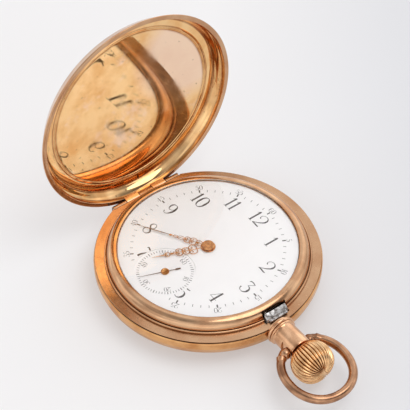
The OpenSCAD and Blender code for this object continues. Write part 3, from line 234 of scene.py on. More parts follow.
# Nickel with its stripes: each one is a shallow trough, so the eye gets bands that are bright on one side.
nickel = worn_metal("striped_nickel", "D9D5CB", "BDB7A8", 0.2, 4)
tree = nickel.node_tree
place = add_node(tree, "ShaderNodeTexCoord").outputs["Object"]
turn = add_node(tree, "ShaderNodeMapping", {"Vector": place, "Rotation": (0, 0, radians(35))})
stripes = add_node(tree, "ShaderNodeTexWave", {
    "Vector": turn.outputs[0], "Scale": GRAIN / STRIPE_MM / 20, "Distortion": 0.15}, wave_profile="SAW")
hair_relief = next(n for n in tree.nodes if n.bl_idname == "ShaderNodeBump")
trough = add_node(tree, "ShaderNodeBump", {
    "Strength": 0.5, "Distance": 0.04 * MM, "Height": stripes.outputs["Fac"],
    "Normal": hair_relief.outputs[0]})
fill(tree, tree.nodes["Principled BSDF"], {"Normal": trough.outputs[0]})
dress(nickel, "pillar_plate", "barrel_bridge", "train_bridge", "balance_cock", "pallet_bridge")

# Wheels, barrel and balance: stamped from gilded brass, their teeth cut and their arms filed and polished.
# Each is riveted on its arbor, and the balance carries gold screws in its rim. The eye gets a pale yellow.
gilt = worn_metal("gilt_brass", "E9C68A", "C9964E", 0.2, 2)
dress(gilt, "barrel", "barrel_cover", "center_wheel", "third_wheel", "fourth_wheel", "balance_wheel",
      "minute_wheel", "hour_wheel", "balance_screws")

# Arbors, escapement, winding and setting work: hardened carbon steel, ground and polished. They turn in the
# jewels or in holes in the plates. The eye gets a cool grey mirror.
steel = worn_metal("polished_steel", "C4C5C7", "9A9A9C", 0.18, 1.5)
dress(steel, "barrel_arbor", "center_arbor", "third_arbor", "fourth_arbor", "escape_arbor", "balance_staff",
      "escape_wheel", "pallet_fork", "winding_arbor", "winding_pinion", "clutch", "setting_lever",
      "crown_wheel", "ratchet_wheel", "click", "regulator", "cannon_pinion", "case_screws",
      "front_hinge_pin", "back_hinge_pin", "pendant_sleeve", "stem", "lift_spring")

# Screws and springs: steel polished and then heated until it turns, screwed in or hooked on their arbors.
# The eye gets a deep blue that goes to violet in places.
blued = worn_metal("blued_steel", "2F3F73", "46305E", 0.2, 1.2)
dress(blued, "mainspring", "hairspring", "plate_screws", "dial_screws", "ratchet_screw", "click_spring")

# Jewels and pallet stones: clear red corundum, polished, set in the plates and in the pallet's arms. The eye
# gets small deep red stones with a hard gloss.
ruby, tree, shader, place = new_material("polished_ruby")
milk = add_node(tree, "ShaderNodeTexNoise", {"Vector": place, "Scale": GRAIN / 0.5, "Detail": 2})
tone = add_node(tree, "ShaderNodeMix", {0: milk.outputs["Fac"], 6: linear("B3123A"), 7: linear("E0416A")},
                data_type="RGBA")
fill(tree, shader, {"Base Color": tone.outputs[2], "Roughness": 0.05, "IOR": 1.77, "Coat Weight": 0.6})
dress(ruby, "jewels", "pallet_stones")

# Case centre: the turned middle of the case, rose gold over a stiff brass core. Its top is a flat ring with
# fine turned lines, its side a rounded band, and the hinge tubes are soldered on at nine.
CASE_BODY = "case"
ROSE_GOLD = "D6AC86"
ROSE_SHADE = "BA8660"
TURN_STEPS = 288
bezel_low, bezel_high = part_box("bezel")
dial_low, dial_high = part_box("dial")
LEDGE_Z = bezel_low[2] / MM
BEZEL_R = -bezel_low[0] / MM
BEZEL_TOP = bezel_high[2] / MM
DIAL_Z = dial_high[2] / MM
DIAL_R = -dial_low[0] / MM
GLASS_R = DIAL_R - 0.4
NECK_R = BEZEL_R - 0.83
CASE_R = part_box("case_center")[1][1] / MM
LID_R = CASE_R - 0.5
BAND_Z = LEDGE_Z - 2.54
PLATE_Z = DIAL_Z - 2.1
BORE_R = DIAL_R + 0.7
GROOVE_R = BORE_R + 1.2
LATCH_Y = 1.2
LATCH_HALF = 3.2
LEVER_ANGLE = 32
LEVER_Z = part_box("setting_lever")[0][2] / MM
TUBE_R = 0.68
HINGE_LENGTH = 18.6
KNUCKLE_GAP = 0.2
FRONT_KNUCKLES = 5
BACK_KNUCKLES = 7
LEVER_HALF = 0.95
# Colour of the painted shade that darkens the case's gold towards the hinge.
HINGE_PAINTED_SHADE = "7E5434"
hinge = next(j for j in frame["joints"] if j["name"] == "front_cover_hinge")
back_hinge = next(j for j in frame["joints"] if j["name"] == "back_cover_hinge")
HINGE = Vector(hinge["pos_m"])
hinge_x, hinge_z = HINGE.x / MM, HINGE.z / MM
back_hinge_z = back_hinge["pos_m"][2] / MM
CHORD_X = hinge_x - TUBE_R - 0.02


def arc(centre_r, centre_z, radius, start, end, steps):
    """Points of a round stretch of an outline, from one angle to another in degrees."""
    angles = [radians(start + (end - start) * i / steps) for i in range(steps + 1)]
    return [(centre_r + radius * cos(a), centre_z + radius * sin(a)) for a in angles]


def beside(r, z, *steps):
    """Points of an outline, each given by its distance from one point."""
    return [(r + along, z + up) for along, up in steps]


def turned(outline, steps=TURN_STEPS):
    """A closed outline of (radius, height) points in millimetres, turned about the dial's axis."""
    bm = bmesh.new()
    verts = [bm.verts.new((r * MM, 0, z * MM)) for r, z in outline]
    pairs = zip(verts, verts[1:] + verts[:1])
    edges = [bm.edges.new(pair) for pair in pairs if pair[0].co.x > 0 or pair[1].co.x > 0]
    bmesh.ops.spin(bm, geom=verts + edges, axis=(0, 0, 1), angle=2 * pi, steps=steps, use_merge=True)
    bmesh.ops.remove_doubles(bm, verts=bm.verts, dist=1e-8)
    bmesh.ops.recalc_face_normals(bm, faces=bm.faces)
    return bm


def cut_box(bm, low, high):
    """Cuts a box, given by two corners in millimetres, out of a closed mesh."""
    cutter = bmesh.new()
    add_block(cutter, low, high)
    solids = []
    for label, source in (("solid", bm), ("cutter", cutter)):
        mesh = bpy.data.meshes.new(label)
        source.to_mesh(mesh)
        solids.append(bpy.data.objects.new(label, mesh))
        bpy.context.collection.objects.link(solids[-1])
    cutter.free()
    modifier = solids[0].modifiers.new("cut", "BOOLEAN")
    modifier.object = solids[1]
    modifier.solver = "EXACT"
    result = bpy.data.meshes.new_from_object(solids[0].evaluated_get(bpy.context.evaluated_depsgraph_get()))
    bm.clear()
    bm.from_mesh(result)
    for solid in solids:
        bpy.data.objects.remove(solid)


def cut_flat(bm, geometry, point, normal):
    """Cuts off what lies past a plane through a point in millimetres, and closes the cut."""
    bmesh.ops.bisect_plane(bm, geom=geometry, plane_co=[c * MM for c in point], plane_no=normal,
                           clear_outer=True)
    bmesh.ops.holes_fill(bm, edges=[e for e in bm.edges if e.is_boundary])


def cut_chord(bm):
    """Cuts the flat that the hinge lies along."""
    cut_flat(bm, bm.verts[:] + bm.edges[:] + bm.faces[:], (CHORD_X, 0, 0), (-1, 0, 0))


def put(bm, verts, spot=(0, 0, 0), angle=0, axis="Z"):
    """Turns vertices about an axis through the origin, in degrees, and then moves them, in millimetres."""
    bmesh.ops.rotate(bm, cent=(0, 0, 0), matrix=Matrix.Rotation(radians(angle), 3, axis), verts=verts)
    bmesh.ops.translate(bm, vec=Vector(spot) * MM, verts=verts)


def add_tube(bm, centre, radius, start_y, end_y, sides=40):
    """Adds a short closed cylinder along Y, as the hinge tubes and pins are."""
    made = bmesh.ops.create_cone(bm, cap_ends=True, segments=sides, radius1=radius * MM, radius2=radius * MM,
                                 depth=(end_y - start_y) * MM)["verts"]
    put(bm, made, (centre[0], (start_y + end_y) / 2, centre[1]), 90, "X")


def add_block(bm, low, high):
    """Adds a box given by two corners in millimetres."""
    made = bmesh.ops.create_cube(bm, size=1)["verts"]
    bmesh.ops.scale(bm, vec=(Vector(high) - Vector(low)) * MM, verts=made)
    put(bm, made, (Vector(low) + Vector(high)) / 2)


def merge(bm, part):
    """Moves a mesh into another one."""
    mesh = bpy.data.meshes.new("part")
    part.to_mesh(mesh)
    part.free()
    bm.from_mesh(mesh)


def add_knuckles(bm, z, picks, count, *leaves):
    """Adds hinge tubes, by their numbers along it, with leaves (low x, low z, high x, high z) on each."""
    pitch = HINGE_LENGTH / count
    for pick in picks:
        start = -HINGE_LENGTH / 2 + pick * pitch + KNUCKLE_GAP / 2
        end = start + pitch - KNUCKLE_GAP
        add_tube(bm, (hinge_x, z), TUBE_R, start, end)
        for low_x, low_z, high_x, high_z in leaves:
            add_block(bm, (low_x, start, low_z), (high_x, end, high_z))


def add_piece(name, bm, materials, body, slot, *nodes, crease=32):
    """Makes a mesh a piece of the watch: its materials, the body it moves with, the nodes it stands for."""
    mesh = bpy.data.meshes.new(name)
    bm.to_mesh(mesh)
    bm.free()
    mesh.shade_smooth()
    mesh.set_sharp_from_angle(angle=radians(crease))
    piece = bpy.data.objects.new(name, mesh)
    bpy.context.collection.objects.link(piece)
    for material in materials:
        piece.data.materials.append(material)
    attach(piece, body)
    if nodes:
        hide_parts(*nodes)


# Turned gold gives the eye fine bright circles, and rubbed gold a smoother and yellower sheen. Both get a
# painted shade towards the hinge, under the open cover, and painted shade in their corners from ambient
# occlusion, partly old dirt. A dull brown is painted in the band's groove: painted shade with old dirt.
rose_turned = worn_metal("rose_gold_turned", ROSE_GOLD, ROSE_SHADE, 0.17, 7, 0.16, 0.3, 0.5)
# The groove's dull brown is painted shade as well as old dirt.
groove_dirt_and_shade = worn_metal("groove_painted_shade_and_dirt", "6A4630", "4A2E1E", 0.4, 2)
rose_rubbed = worn_metal("rose_gold_rubbed", "E2AC74", "BC7A44", 0.17, 4, 0.3, 0.12, 0.4)
for metal in (rose_turned, rose_rubbed):
    tree = metal.node_tree
    gold = tree.nodes["Principled BSDF"]
    place = add_node(tree, "ShaderNodeTexCoord").outputs["Object"]
    side = add_node(tree, "ShaderNodeSeparateXYZ", {0: place})
    # Painted shade: the gold gets darker towards the hinge, under the open cover.
    painted_shade_by_hinge = add_node(tree, "ShaderNodeMapRange", {
        "Value": side.outputs["X"], "From Min": -8 * MM, "From Max": -23 * MM, "To Max": 0.6})
    darker = add_node(tree, "ShaderNodeMix", {
        0: painted_shade_by_hinge.outputs[0], 6: gold.inputs["Base Color"].links[0].from_socket, 7: linear(HINGE_PAINTED_SHADE)},
        data_type="RGBA")
    fill(tree, gold, {"Base Color": darker.outputs[2]})
bm = turned([(BORE_R, DIAL_Z - 0.75), (BORE_R, PLATE_Z)]
            + beside(BORE_R, PLATE_Z, (-0.6, 0), (-0.6, -0.45)) + [(GROOVE_R, PLATE_Z - 0.45)]
            + [(GROOVE_R, BAND_Z + 0.35)] + beside(BORE_R, BAND_Z, (-0.2, 0.35), (-0.2, -0.75))
            + [(GROOVE_R, BAND_Z - 0.75), (GROOVE_R, BAND_Z), (CASE_R - 0.3, BAND_Z)]
            + arc(CASE_R - 0.3, BAND_Z + 0.32, 0.3, -75, 0, 6)
            + arc(CASE_R - 0.5, LEDGE_Z - 0.85, 0.5, 0, 64, 10)
            + beside(CASE_R, LEDGE_Z, (-0.42, -0.4), (-0.48, -0.32), (-0.44, -0.2), (-0.3, -0.14),
                     (-0.28, -0.06), (-0.34, 0))
            + [(NECK_R, LEDGE_Z), (NECK_R, DIAL_Z - 0.75)])
cut_chord(bm)
cut_box(bm, (-CASE_R - 1, -HINGE_LENGTH / 2 - 0.1, hinge_z - TUBE_R - 0.1),
        (hinge_x + TUBE_R + 0.1, HINGE_LENGTH / 2 + 0.1, LEDGE_Z + 2))
cut_box(bm, (BORE_R - 0.7, LATCH_Y - LATCH_HALF - 0.1, BAND_Z + 0.4),
        (BEZEL_R + 0.55, LATCH_Y + LATCH_HALF + 0.1, LEDGE_Z + 3))
to_lever = Matrix.Rotation(radians(LEVER_ANGLE), 3, "Z")
bmesh.ops.rotate(bm, cent=(0, 0, 0), matrix=to_lever.inverted(), verts=bm.verts)
cut_box(bm, (BORE_R - 0.1, -LEVER_HALF, LEVER_Z - 0.05), (BORE_R + 1.9, LEVER_HALF, LEVER_Z + 1.95))
bmesh.ops.rotate(bm, cent=(0, 0, 0), matrix=to_lever, verts=bm.verts)
add_knuckles(bm, hinge_z, (0, 2, 4), FRONT_KNUCKLES,
             (hinge_x, hinge_z - TUBE_R, hinge_x + 0.98, hinge_z + 0.15),
             (CHORD_X, hinge_z - 0.98, hinge_x + 0.98, hinge_z))
add_knuckles(bm, back_hinge_z, (0, 3, 6), BACK_KNUCKLES,
             (hinge_x - 0.3, back_hinge_z, hinge_x + 0.5, BAND_Z + 0.2))
# Faces of the band's groove get the painted shade and dirt, and the side below it the rubbed gold.
for face in bm.faces:
    middle = face.calc_center_median() / MM
    if middle.xy.length > CASE_R - 0.5 and middle.z < LEDGE_Z - 0.16:
        face.material_index = 2 if middle.z > LEDGE_Z - 0.43 else 1
add_piece("case_ring", bm, [rose_turned, rose_rubbed, groove_dirt_and_shade], CASE_BODY, "rose_gold", "case_center")

# Back cover: a shallow dish of rose gold that snaps on the case from below, with a flat that the watch
# rests on, and its hinge tubes at nine. The dust cover inside it is yellow gold, on the same pin.
REST_R = 9
BACK_R = CASE_R - 0.42
BACK_SHEET = 0.6
BACK_WALL = 0.85


def back_height(r):
    """Height of the back cover's outside over the table, at a radius."""
    return (BAND_Z - 1.3) * (max(0, r - REST_R) / (BACK_R - REST_R)) ** 2


# Polished rose gold gives the eye a clear reddish mirror, and polished yellow gold a brighter, yellower one.
# The rose gold's corners are darkened by ambient occlusion: painted shade, partly old dirt.
rose_polished = worn_metal("rose_gold_polished", ROSE_GOLD, ROSE_SHADE, 0.13, 6, 0.3, 0.08, 0.35)
outer_rings = [REST_R + (BACK_R - 0.15 - REST_R) * i / 28 for i in range(29)]
bm = turned([(0, 0)] + [(r, back_height(r)) for r in outer_rings]
            + beside(BACK_R, BAND_Z, (-0.04, -1.12), (0, -0.9), (0, -0.42), (-0.05, -0.28), (-0.16, -0.2),
                     (-0.4, -0.18), (-0.45, -0.02), (-0.95, -0.02), (-0.95, -0.8))
            + [(r - BACK_WALL, back_height(r - BACK_WALL) + BACK_SHEET) for r in reversed(outer_rings)]
            + [(0, BACK_SHEET)])
cut_chord(bm)
cut_box(bm, (-CASE_R - 1, -HINGE_LENGTH / 2 - 0.1, back_hinge_z - TUBE_R - 0.1),
        (hinge_x + TUBE_R + 0.1, HINGE_LENGTH / 2 + 0.1, BAND_Z + 2))
add_knuckles(bm, back_hinge_z, (1, 5), BACK_KNUCKLES,
             (hinge_x - TUBE_R, back_hinge_z - TUBE_R - 0.35, hinge_x + 0.1, back_hinge_z))
add_piece("back_cover_shell", bm, [rose_polished], "back_cover", "rose_gold", "back_cover")

yellow_polished = worn_metal("yellow_gold_polished", "F3C88E", "CF8B42", 0.1, 5, 0.4, 0.06)
dress(yellow_polished, "cuvette")

# Dial: white enamel fired on copper, with the seconds dial ground out and let in, held by three feet. Its
# figures are fired on in a soft black: slender upright hours, small five-minute figures and a dotted track.
# The enamel gives the eye a warm, faintly uneven white with a soft gloss.
enamel, tree, shader, place = new_material("white_enamel")
mottle = add_node(tree, "ShaderNodeTexNoise", {"Vector": place, "Scale": GRAIN / 5, "Detail": 3})
tone = add_node(tree, "ShaderNodeMix", {0: mottle.outputs["Fac"], 6: linear("F6F4F3"), 7: linear("F1EFEE")},
                data_type="RGBA")
orange_peel = add_node(tree, "ShaderNodeTexNoise", {"Vector": place, "Scale": GRAIN / 1.5, "Detail": 1})
relief = add_node(tree, "ShaderNodeBump", {
    "Strength": 0.15, "Distance": 0.01 * MM, "Height": orange_peel.outputs["Fac"]})
fill(tree, shader, {"Base Color": tone.outputs[2], "Normal": relief.outputs[0], "Roughness": 0.35})
dress(enamel, "dial")

# Each figure is a list of strokes of (x, y, half width) in units of the figure's height; a stroke that
# starts with None is a closed ring.
SIX = [[(0.2, 0.85, 0.045), (0.08, 0.98, 0.02), (-0.05, 0.96, 0.03), (-0.24, 0.62, 0.08), (-0.24, 0.3, 0.09),
        (-0.12, 0.04, 0.04), (0.02, 0, 0.02), (0.2, 0.13, 0.06), (0.22, 0.35, 0.06), (0.08, 0.55, 0.025),
        (-0.08, 0.5, 0.02), (-0.2, 0.36, 0.02)]]
FIGURES = {
    "0": [[None, (0, 1, 0.02), (0.17, 0.9, 0.05), (0.25, 0.5, 0.085), (0.17, 0.1, 0.05), (0, 0, 0.02),
           (-0.17, 0.1, 0.05), (-0.25, 0.5, 0.085), (-0.17, 0.9, 0.05)]],
    "1": [[(0, 0, 0.07), (0, 1, 0.07)], [(-0.16, 0.8, 0.02), (0, 0.97, 0.03)],
          [(-0.14, 0.01, 0.018), (0.14, 0.01, 0.018)]],
    "2": [[(-0.15, 0.6, 0.05), (-0.25, 0.74, 0.025), (-0.16, 0.93, 0.018), (0.04, 1, 0.02),
           (0.27, 0.88, 0.05), (0.31, 0.66, 0.075), (0.18, 0.42, 0.05), (-0.06, 0.2, 0.03),
           (-0.3, 0.03, 0.02)],
          [(-0.3, 0.03, 0.03), (-0.1, 0.05, 0.055), (0.12, 0.03, 0.055), (0.3, 0.03, 0.045)]],
    "3": [[(-0.22, 0.9, 0.03), (-0.18, 0.97, 0.045), (0.24, 0.97, 0.03)],
          [(0.24, 0.96, 0.02), (-0.04, 0.6, 0.02)],
          [(-0.04, 0.6, 0.02), (0.18, 0.54, 0.045), (0.28, 0.3, 0.085), (0.16, 0.06, 0.045), (-0.02, 0, 0.02),
           (-0.2, 0.07, 0.03), (-0.27, 0.24, 0.055)]],
    "4": [[(0.1, 0, 0.075), (0.1, 1, 0.075)], [(0.1, 1, 0.02), (-0.3, 0.3, 0.02)],
          [(-0.3, 0.3, 0.02), (0.28, 0.3, 0.02)], [(-0.04, 0.01, 0.018), (0.24, 0.01, 0.018)]],
    "5": [[(-0.16, 0.97, 0.03), (0, 0.93, 0.05), (0.2, 0.98, 0.03)],
          [(-0.18, 0.97, 0.02), (-0.2, 0.55, 0.02)],
          [(-0.2, 0.55, 0.02), (0, 0.63, 0.02), (0.2, 0.5, 0.07), (0.24, 0.28, 0.09), (0.12, 0.05, 0.05),
           (-0.05, 0, 0.02), (-0.2, 0.08, 0.03), (-0.24, 0.2, 0.05)]],
    "6": SIX,
    "7": [[(-0.25, 0.9, 0.02), (-0.2, 0.98, 0.05), (0, 0.93, 0.06), (0.25, 0.97, 0.03)],
          [(0.25, 0.96, 0.02), (0.05, 0.55, 0.05), (-0.06, 0.25, 0.08), (-0.08, 0.02, 0.09)]],
    "8": [[None, (0, 0.54, 0.06), (-0.19, 0.76, 0.055), (0, 1, 0.02), (0.19, 0.77, 0.035), (0, 0.54, 0.02),
           (-0.24, 0.25, 0.045), (0, 0, 0.02), (0.25, 0.24, 0.07)]],
    "9": [[(-x, 1 - y, w) for x, y, w in stroke] for stroke in SIX],
}
HOUR_R = 14.45
HOUR_HEIGHT = 3.55
FIVES_R = 18.45
FIVES_HEIGHT = 1.3
TRACK_R = 17.3
SECONDS_Y = -12
SUB_R = 6.9
SUNK = 0.2
SECONDS_R = 5.1
SECONDS_HEIGHT = 1.15
SECONDS_TRACK_R = 6.12
HOUR_MARK = (0.85, 0.32)   # length and width of each kind of mark
MINUTE_MARK = (0.7, 0.12)
FIVE_MARK = (0.75, 0.17)
SECOND_MARK = (0.6, 0.11)
INK_DEPTH = 0.012


def new_pen(fineness, roundness=2):
    """An empty curve to draw strokes in; the radius of a point is half the stroke's width in millimetres."""
    curve = bpy.data.curves.new("pen", "CURVE")
    curve.dimensions = "3D"
    curve.bevel_depth = MM
    curve.bevel_resolution = roundness
    curve.use_fill_caps = True
    curve.resolution_u = fineness
    return curve


def draw(curve, stroke, spot):
    """Draws a stroke of (x, y, half width in millimetres) points, put in place by a matrix in millimetres."""
    ring = stroke[0] is None
    points = stroke[1:] if ring else stroke
    spline = curve.splines.new("BEZIER")
    spline.bezier_points.add(len(points) - 1)
    for knot, (x, y, half) in zip(spline.bezier_points, points):
        knot.co = spot @ Vector((x, y, 0)) * MM
        knot.radius = half
        knot.handle_left_type = knot.handle_right_type = "AUTO"
    spline.use_cyclic_u = ring


def pressed(curve, thickness=1, low=0):
    """The curve's strokes as a mesh, pressed to a share of their thickness and lifted by millimetres."""
    holder = bpy.data.objects.new("pen", curve)
    bpy.context.collection.objects.link(holder)
    mesh = bpy.data.meshes.new_from_object(holder.evaluated_get(bpy.context.evaluated_depsgraph_get()))
    bpy.data.objects.remove(holder)
    bm = bmesh.new()
    bm.from_mesh(mesh)
    bmesh.ops.scale(bm, vec=(1, 1, thickness), verts=bm.verts)
    bmesh.ops.translate(bm, vec=(0, 0, low * MM), verts=bm.verts)
    bmesh.ops.recalc_face_normals(bm, faces=bm.faces)
    return bm


def write_number(curve, text, centre, height, angle=0, weight=1):
    """Writes a number about its centre, turned by an angle in degrees clockwise."""
    widths = [0.4 if figure == "1" else 0.7 for figure in text]
    spot = (Matrix.Translation((*centre, 0)) @ Matrix.Rotation(radians(-angle), 4, "Z")
            @ Matrix.Scale(height, 4) @ Matrix.Translation((-sum(widths) / 2, -0.5, 0)))
    start = 0
    for figure, width in zip(text, widths):
        for stroke in FIGURES[figure]:
            points = [p and (p[0] + start + width / 2, p[1], p[2] * height * weight) for p in stroke]
            draw(curve, points, spot)
        start += width


def around(radius, angle, centre=(0, 0)):
    """A point at a radius and an angle clockwise from twelve, in degrees."""
    return centre[0] + radius * sin(radians(angle)), centre[1] + radius * cos(radians(angle))


def add_mark(bm, radius, angle, size, centre, low):
    """Adds a short printed bar that points at the centre."""
    made = bmesh.ops.create_cube(bm, size=1)["verts"]
    bmesh.ops.scale(bm, vec=(size[1] * MM, size[0] * MM, INK_DEPTH * MM), verts=made)
    put(bm, made, (*around(radius, angle, centre), low), -angle)


# Fired black gives the eye a soft dark grey with a faint gloss.
ink, tree, shader, place = new_material("fired_black")
grains = add_node(tree, "ShaderNodeTexNoise", {"Vector": place, "Scale": GRAIN / 0.3, "Detail": 2})
tone = add_node(tree, "ShaderNodeMix", {0: grains.outputs["Fac"], 6: linear("3A3533"), 7: linear("5C5552")},
                data_type="RGBA")
fill(tree, shader, {"Base Color": tone.outputs[2], "Roughness": 0.25})

pen = new_pen(6)
for hour in (12, 1, 2, 3, 4, 5, 7, 8, 9, 10, 11):
    write_number(pen, str(hour), around(HOUR_R, 30 * hour), HOUR_HEIGHT, weight=0.85)
hours_print = pressed(pen, 0.05, DIAL_Z + 0.004)
sub_centre = (0, SECONDS_Y)
sub_middle = Vector((*sub_centre, 0)) * MM
inside = [f for f in hours_print.faces
          if (f.calc_center_median() - sub_middle).xy.length < (SUB_R + 0.12) * MM]
bmesh.ops.delete(hours_print, geom=inside, context="FACES")
bmesh.ops.holes_fill(hours_print, edges=[e for e in hours_print.edges if e.is_boundary])
for minute in range(60):
    if (Vector(around(TRACK_R, 6 * minute)) - Vector(sub_centre)).length > SUB_R + 0.4:
        add_mark(hours_print, TRACK_R, 6 * minute, MINUTE_MARK if minute % 5 else HOUR_MARK, (0, 0), DIAL_Z)
add_piece("dial_hours_print", hours_print, [ink], CASE_BODY, "enamel")

pen = new_pen(3)
for five in range(12):
    if five != 6:
        write_number(pen, str(5 * five or 60), around(FIVES_R, 30 * five), FIVES_HEIGHT, 30 * five, 0.8)
small_print = pressed(pen, 0.08, DIAL_Z + 0.003)
pen = new_pen(3)
sub_z = DIAL_Z - SUNK
for ten in range(6):
    spot = around(SECONDS_R, 60 * ten, sub_centre)
    write_number(pen, str(10 * ten or 60), spot, SECONDS_HEIGHT, 60 * ten, 0.8)
sub_print = pressed(pen, 0.08, sub_z + 0.003)
for second in range(60):
    size = SECOND_MARK if second % 5 else FIVE_MARK
    add_mark(sub_print, SECONDS_TRACK_R, 6 * second, size, sub_centre, sub_z)
merge(small_print, sub_print)
add_piece("dial_small_print", small_print, [ink], CASE_BODY, "enamel")

# Hands: sawn out of thin rose gold and pierced into pairs of scrolls that dwindle to a diamond and a fine
# blade. Their round bosses are pressed on the hour wheel, on the cannon pinion and on the seconds arbor.
# The gold gives the eye a warm copper glint. The blades are painted a dull brown, painted shade that makes
# a thin brown line of them.
hand_gold = worn_metal("rose_gold_hands", "E3A668", "8E5A30", 0.2, 0.8)
hand_painted_shade = worn_metal("rose_gold_painted_shade", "86684E", "5A4436", 0.25, 1)
HOUR_HAND_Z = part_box("hour_hand")[0][2] / MM
MINUTE_HAND_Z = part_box("minute_hand")[0][2] / MM
SECONDS_HAND_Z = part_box("seconds_hand")[0][2] / MM
HOUR_ANGLE = 202
MINUTE_ANGLE = 238.3
SECONDS_ANGLE = 201
MINUTE_BLADE = 9.6
SECONDS_BOSS = 0.95
SCROLL = ((0, 0.05), (0.06, 0.7), (0.45, 1), (0.86, 0.78), (0.92, 0.38), (0.68, 0.22), (0.52, 0.46),
          (0.64, 0.62))


def pierced_hand(scrolls, wire, loops, diamond, blade):
    """A hand along Y: pairs of scrolls (start, length, half width), oval loops, a diamond and a blade."""
    curve = new_pen(6)
    still = Matrix.Identity(4)
    for start, length, half in scrolls:
        for side in (-1, 1):
            draw(curve, [(side * y * half, start + x * length, wire) for x, y in SCROLL], still)
    for start, end, half in loops:
        middle = (start + end) / 2
        draw(curve, [None, (0, start, wire * 0.8), (half, middle, wire * 0.8), (0, end, wire * 0.8),
                     (-half, middle, wire * 0.8)], still)
    start, end, half = diamond
    draw(curve, [(0, 1.0, wire * 0.9), (0, start, wire * 0.7)], still)
    draw(curve, [(0, start, 0.05), (0, (start + end) / 2, half), (0, end, 0.06)], still)
    draw(curve, [(0, along, half) for along, half in blade], still)
    return curve


def add_boss(bm, radius, low, high, dimple=0):
    """Adds the round boss of a hand: a turned disc with a rounded edge, and a dimple in its middle."""
    edge = min(0.06, (high - low) / 2)
    merge(bm, turned([(0, low), (radius - 0.02, low), (radius, low + edge), (radius - 0.02, high - edge),
                      (radius - edge, high), (radius * 0.62, high), (radius * 0.55, high - dimple),
                      (0, high - dimple)], steps=48))


pen = pierced_hand([(2.6, 1.9, 1.3), (4.4, 1.6, 0.95), (6.0, 1.5, 1.0), (8.9, 1.2, 0.55)], 0.095,
                   [(7.4, 8.2, 0.3)], (8.1, 8.9, 0.35), [(10, 0.1), (11, 0.12), (13, 0.04)])
bm = pressed(pen, 0.35, HOUR_HAND_Z + 0.06)
add_boss(bm, 1.7, HOUR_HAND_Z, HOUR_HAND_Z + 0.13)
put(bm, bm.verts, angle=-HOUR_ANGLE)
add_piece("hour_hand_pierced", bm, [hand_gold], "hour", "rose_gold", "hour_hand")

pen = pierced_hand([(1.5, 1.5, 0.75), (2.9, 1.6, 1.0), (4.4, 1.4, 0.8)], 0.09,
                   [(5.8, 7.4, 0.48), (7.4, 8.5, 0.3)], (8.6, 9.7, 0.3),
                   [(MINUTE_BLADE, 0.09), (11.5, 0.14), (14.5, 0.11), (17.9, 0.04)])
bm = pressed(pen, 0.38, MINUTE_HAND_Z + 0.05)
add_boss(bm, 1.38, MINUTE_HAND_Z, MINUTE_HAND_Z + 0.5, 0.1)
# The blade beyond the diamond gets the painted shade.
for face in bm.faces:
    face.material_index = int(face.calc_center_median().xy.length > MINUTE_BLADE * MM)
put(bm, bm.verts, angle=-MINUTE_ANGLE)
add_piece("minute_hand_pierced", bm, [hand_gold, hand_painted_shade], "center", "rose_gold", "minute_hand")

pen = new_pen(6)
draw(pen, [(0, -3.6, 0.2), (0, -2.7, 0.26), (0, -2.2, 0.08), (0, 0, 0.1), (0, 2.5, 0.08), (0, 5.9, 0.035)],
     Matrix.Identity(4))
bm = pressed(pen, 0.4, SECONDS_HAND_Z + 0.05)
add_boss(bm, SECONDS_BOSS, SECONDS_HAND_Z, SECONDS_HAND_Z + 0.2, 0.04)
# All of the hand but its boss gets the painted shade.
for face in bm.faces:
    face.material_index = int(face.calc_center_median().xy.length > (SECONDS_BOSS + 0.01) * MM)
put(bm, bm.verts, (*sub_centre, 0), -SECONDS_ANGLE)
add_piece("seconds_hand_blade", bm, [hand_gold, hand_painted_shade], "fourth", "rose_gold", "seconds_hand")

# Bezel: a broad convex ring of rose gold, turned and polished, snapped on the case's neck over the glass.
# A fine bead runs round its foot, and a slot is cut in it for the head of the lock spring. The eye gets one
# bright line of light that runs round the ring.
SIGHT_R = GLASS_R - 0.15
PRESS = 0.45               # the lock spring's whole travel, so that the slot has room for it
HEAD_IN = 22.55
# Its corners are darkened by ambient occlusion: painted shade, partly old dirt.
rose_bezel = worn_metal("rose_gold_bezel", ROSE_GOLD, ROSE_SHADE, 0.12, 5, 0.22, 0.12, 0.3)
dome_r = BEZEL_R - 0.48
dome_w = dome_r - GLASS_R - 0.25
dome_z = LEDGE_Z + 0.5
bm = turned([(SIGHT_R, DIAL_Z + 0.05), (DIAL_R + 0.1, DIAL_Z + 0.05), (DIAL_R + 0.1, DIAL_Z - 0.68),
             (NECK_R, DIAL_Z - 0.68), (NECK_R, LEDGE_Z + 0.02), (BEZEL_R - 0.05, LEDGE_Z + 0.02),
             (BEZEL_R, LEDGE_Z + 0.08), (BEZEL_R, LEDGE_Z + 0.3)]
            + arc(BEZEL_R - 0.2, LEDGE_Z + 0.42, 0.2, 10, 165, 8)
            + [(BEZEL_R - 0.42, LEDGE_Z + 0.36), (dome_r, LEDGE_Z + 0.38)]
            + [(GLASS_R + 0.25 + dome_w * cos(radians(a)),
                dome_z + (BEZEL_TOP - dome_z) * sin(radians(a))) for a in range(0, 93, 3)]
            + arc(GLASS_R + 0.2, BEZEL_TOP - 0.18, 0.18, 90, 180, 4)
            + [(GLASS_R + 0.02, DIAL_Z + 0.25), (SIGHT_R, DIAL_Z + 0.25)])
cut_box(bm, (HEAD_IN - PRESS, LATCH_Y - LATCH_HALF - 0.1, LEDGE_Z - 0.2),
        (BEZEL_R + 1, LATCH_Y + LATCH_HALF + 0.1, LEDGE_Z + 4))
add_piece("bezel_ring", bm, [rose_bezel], CASE_BODY, "rose_gold", "bezel")

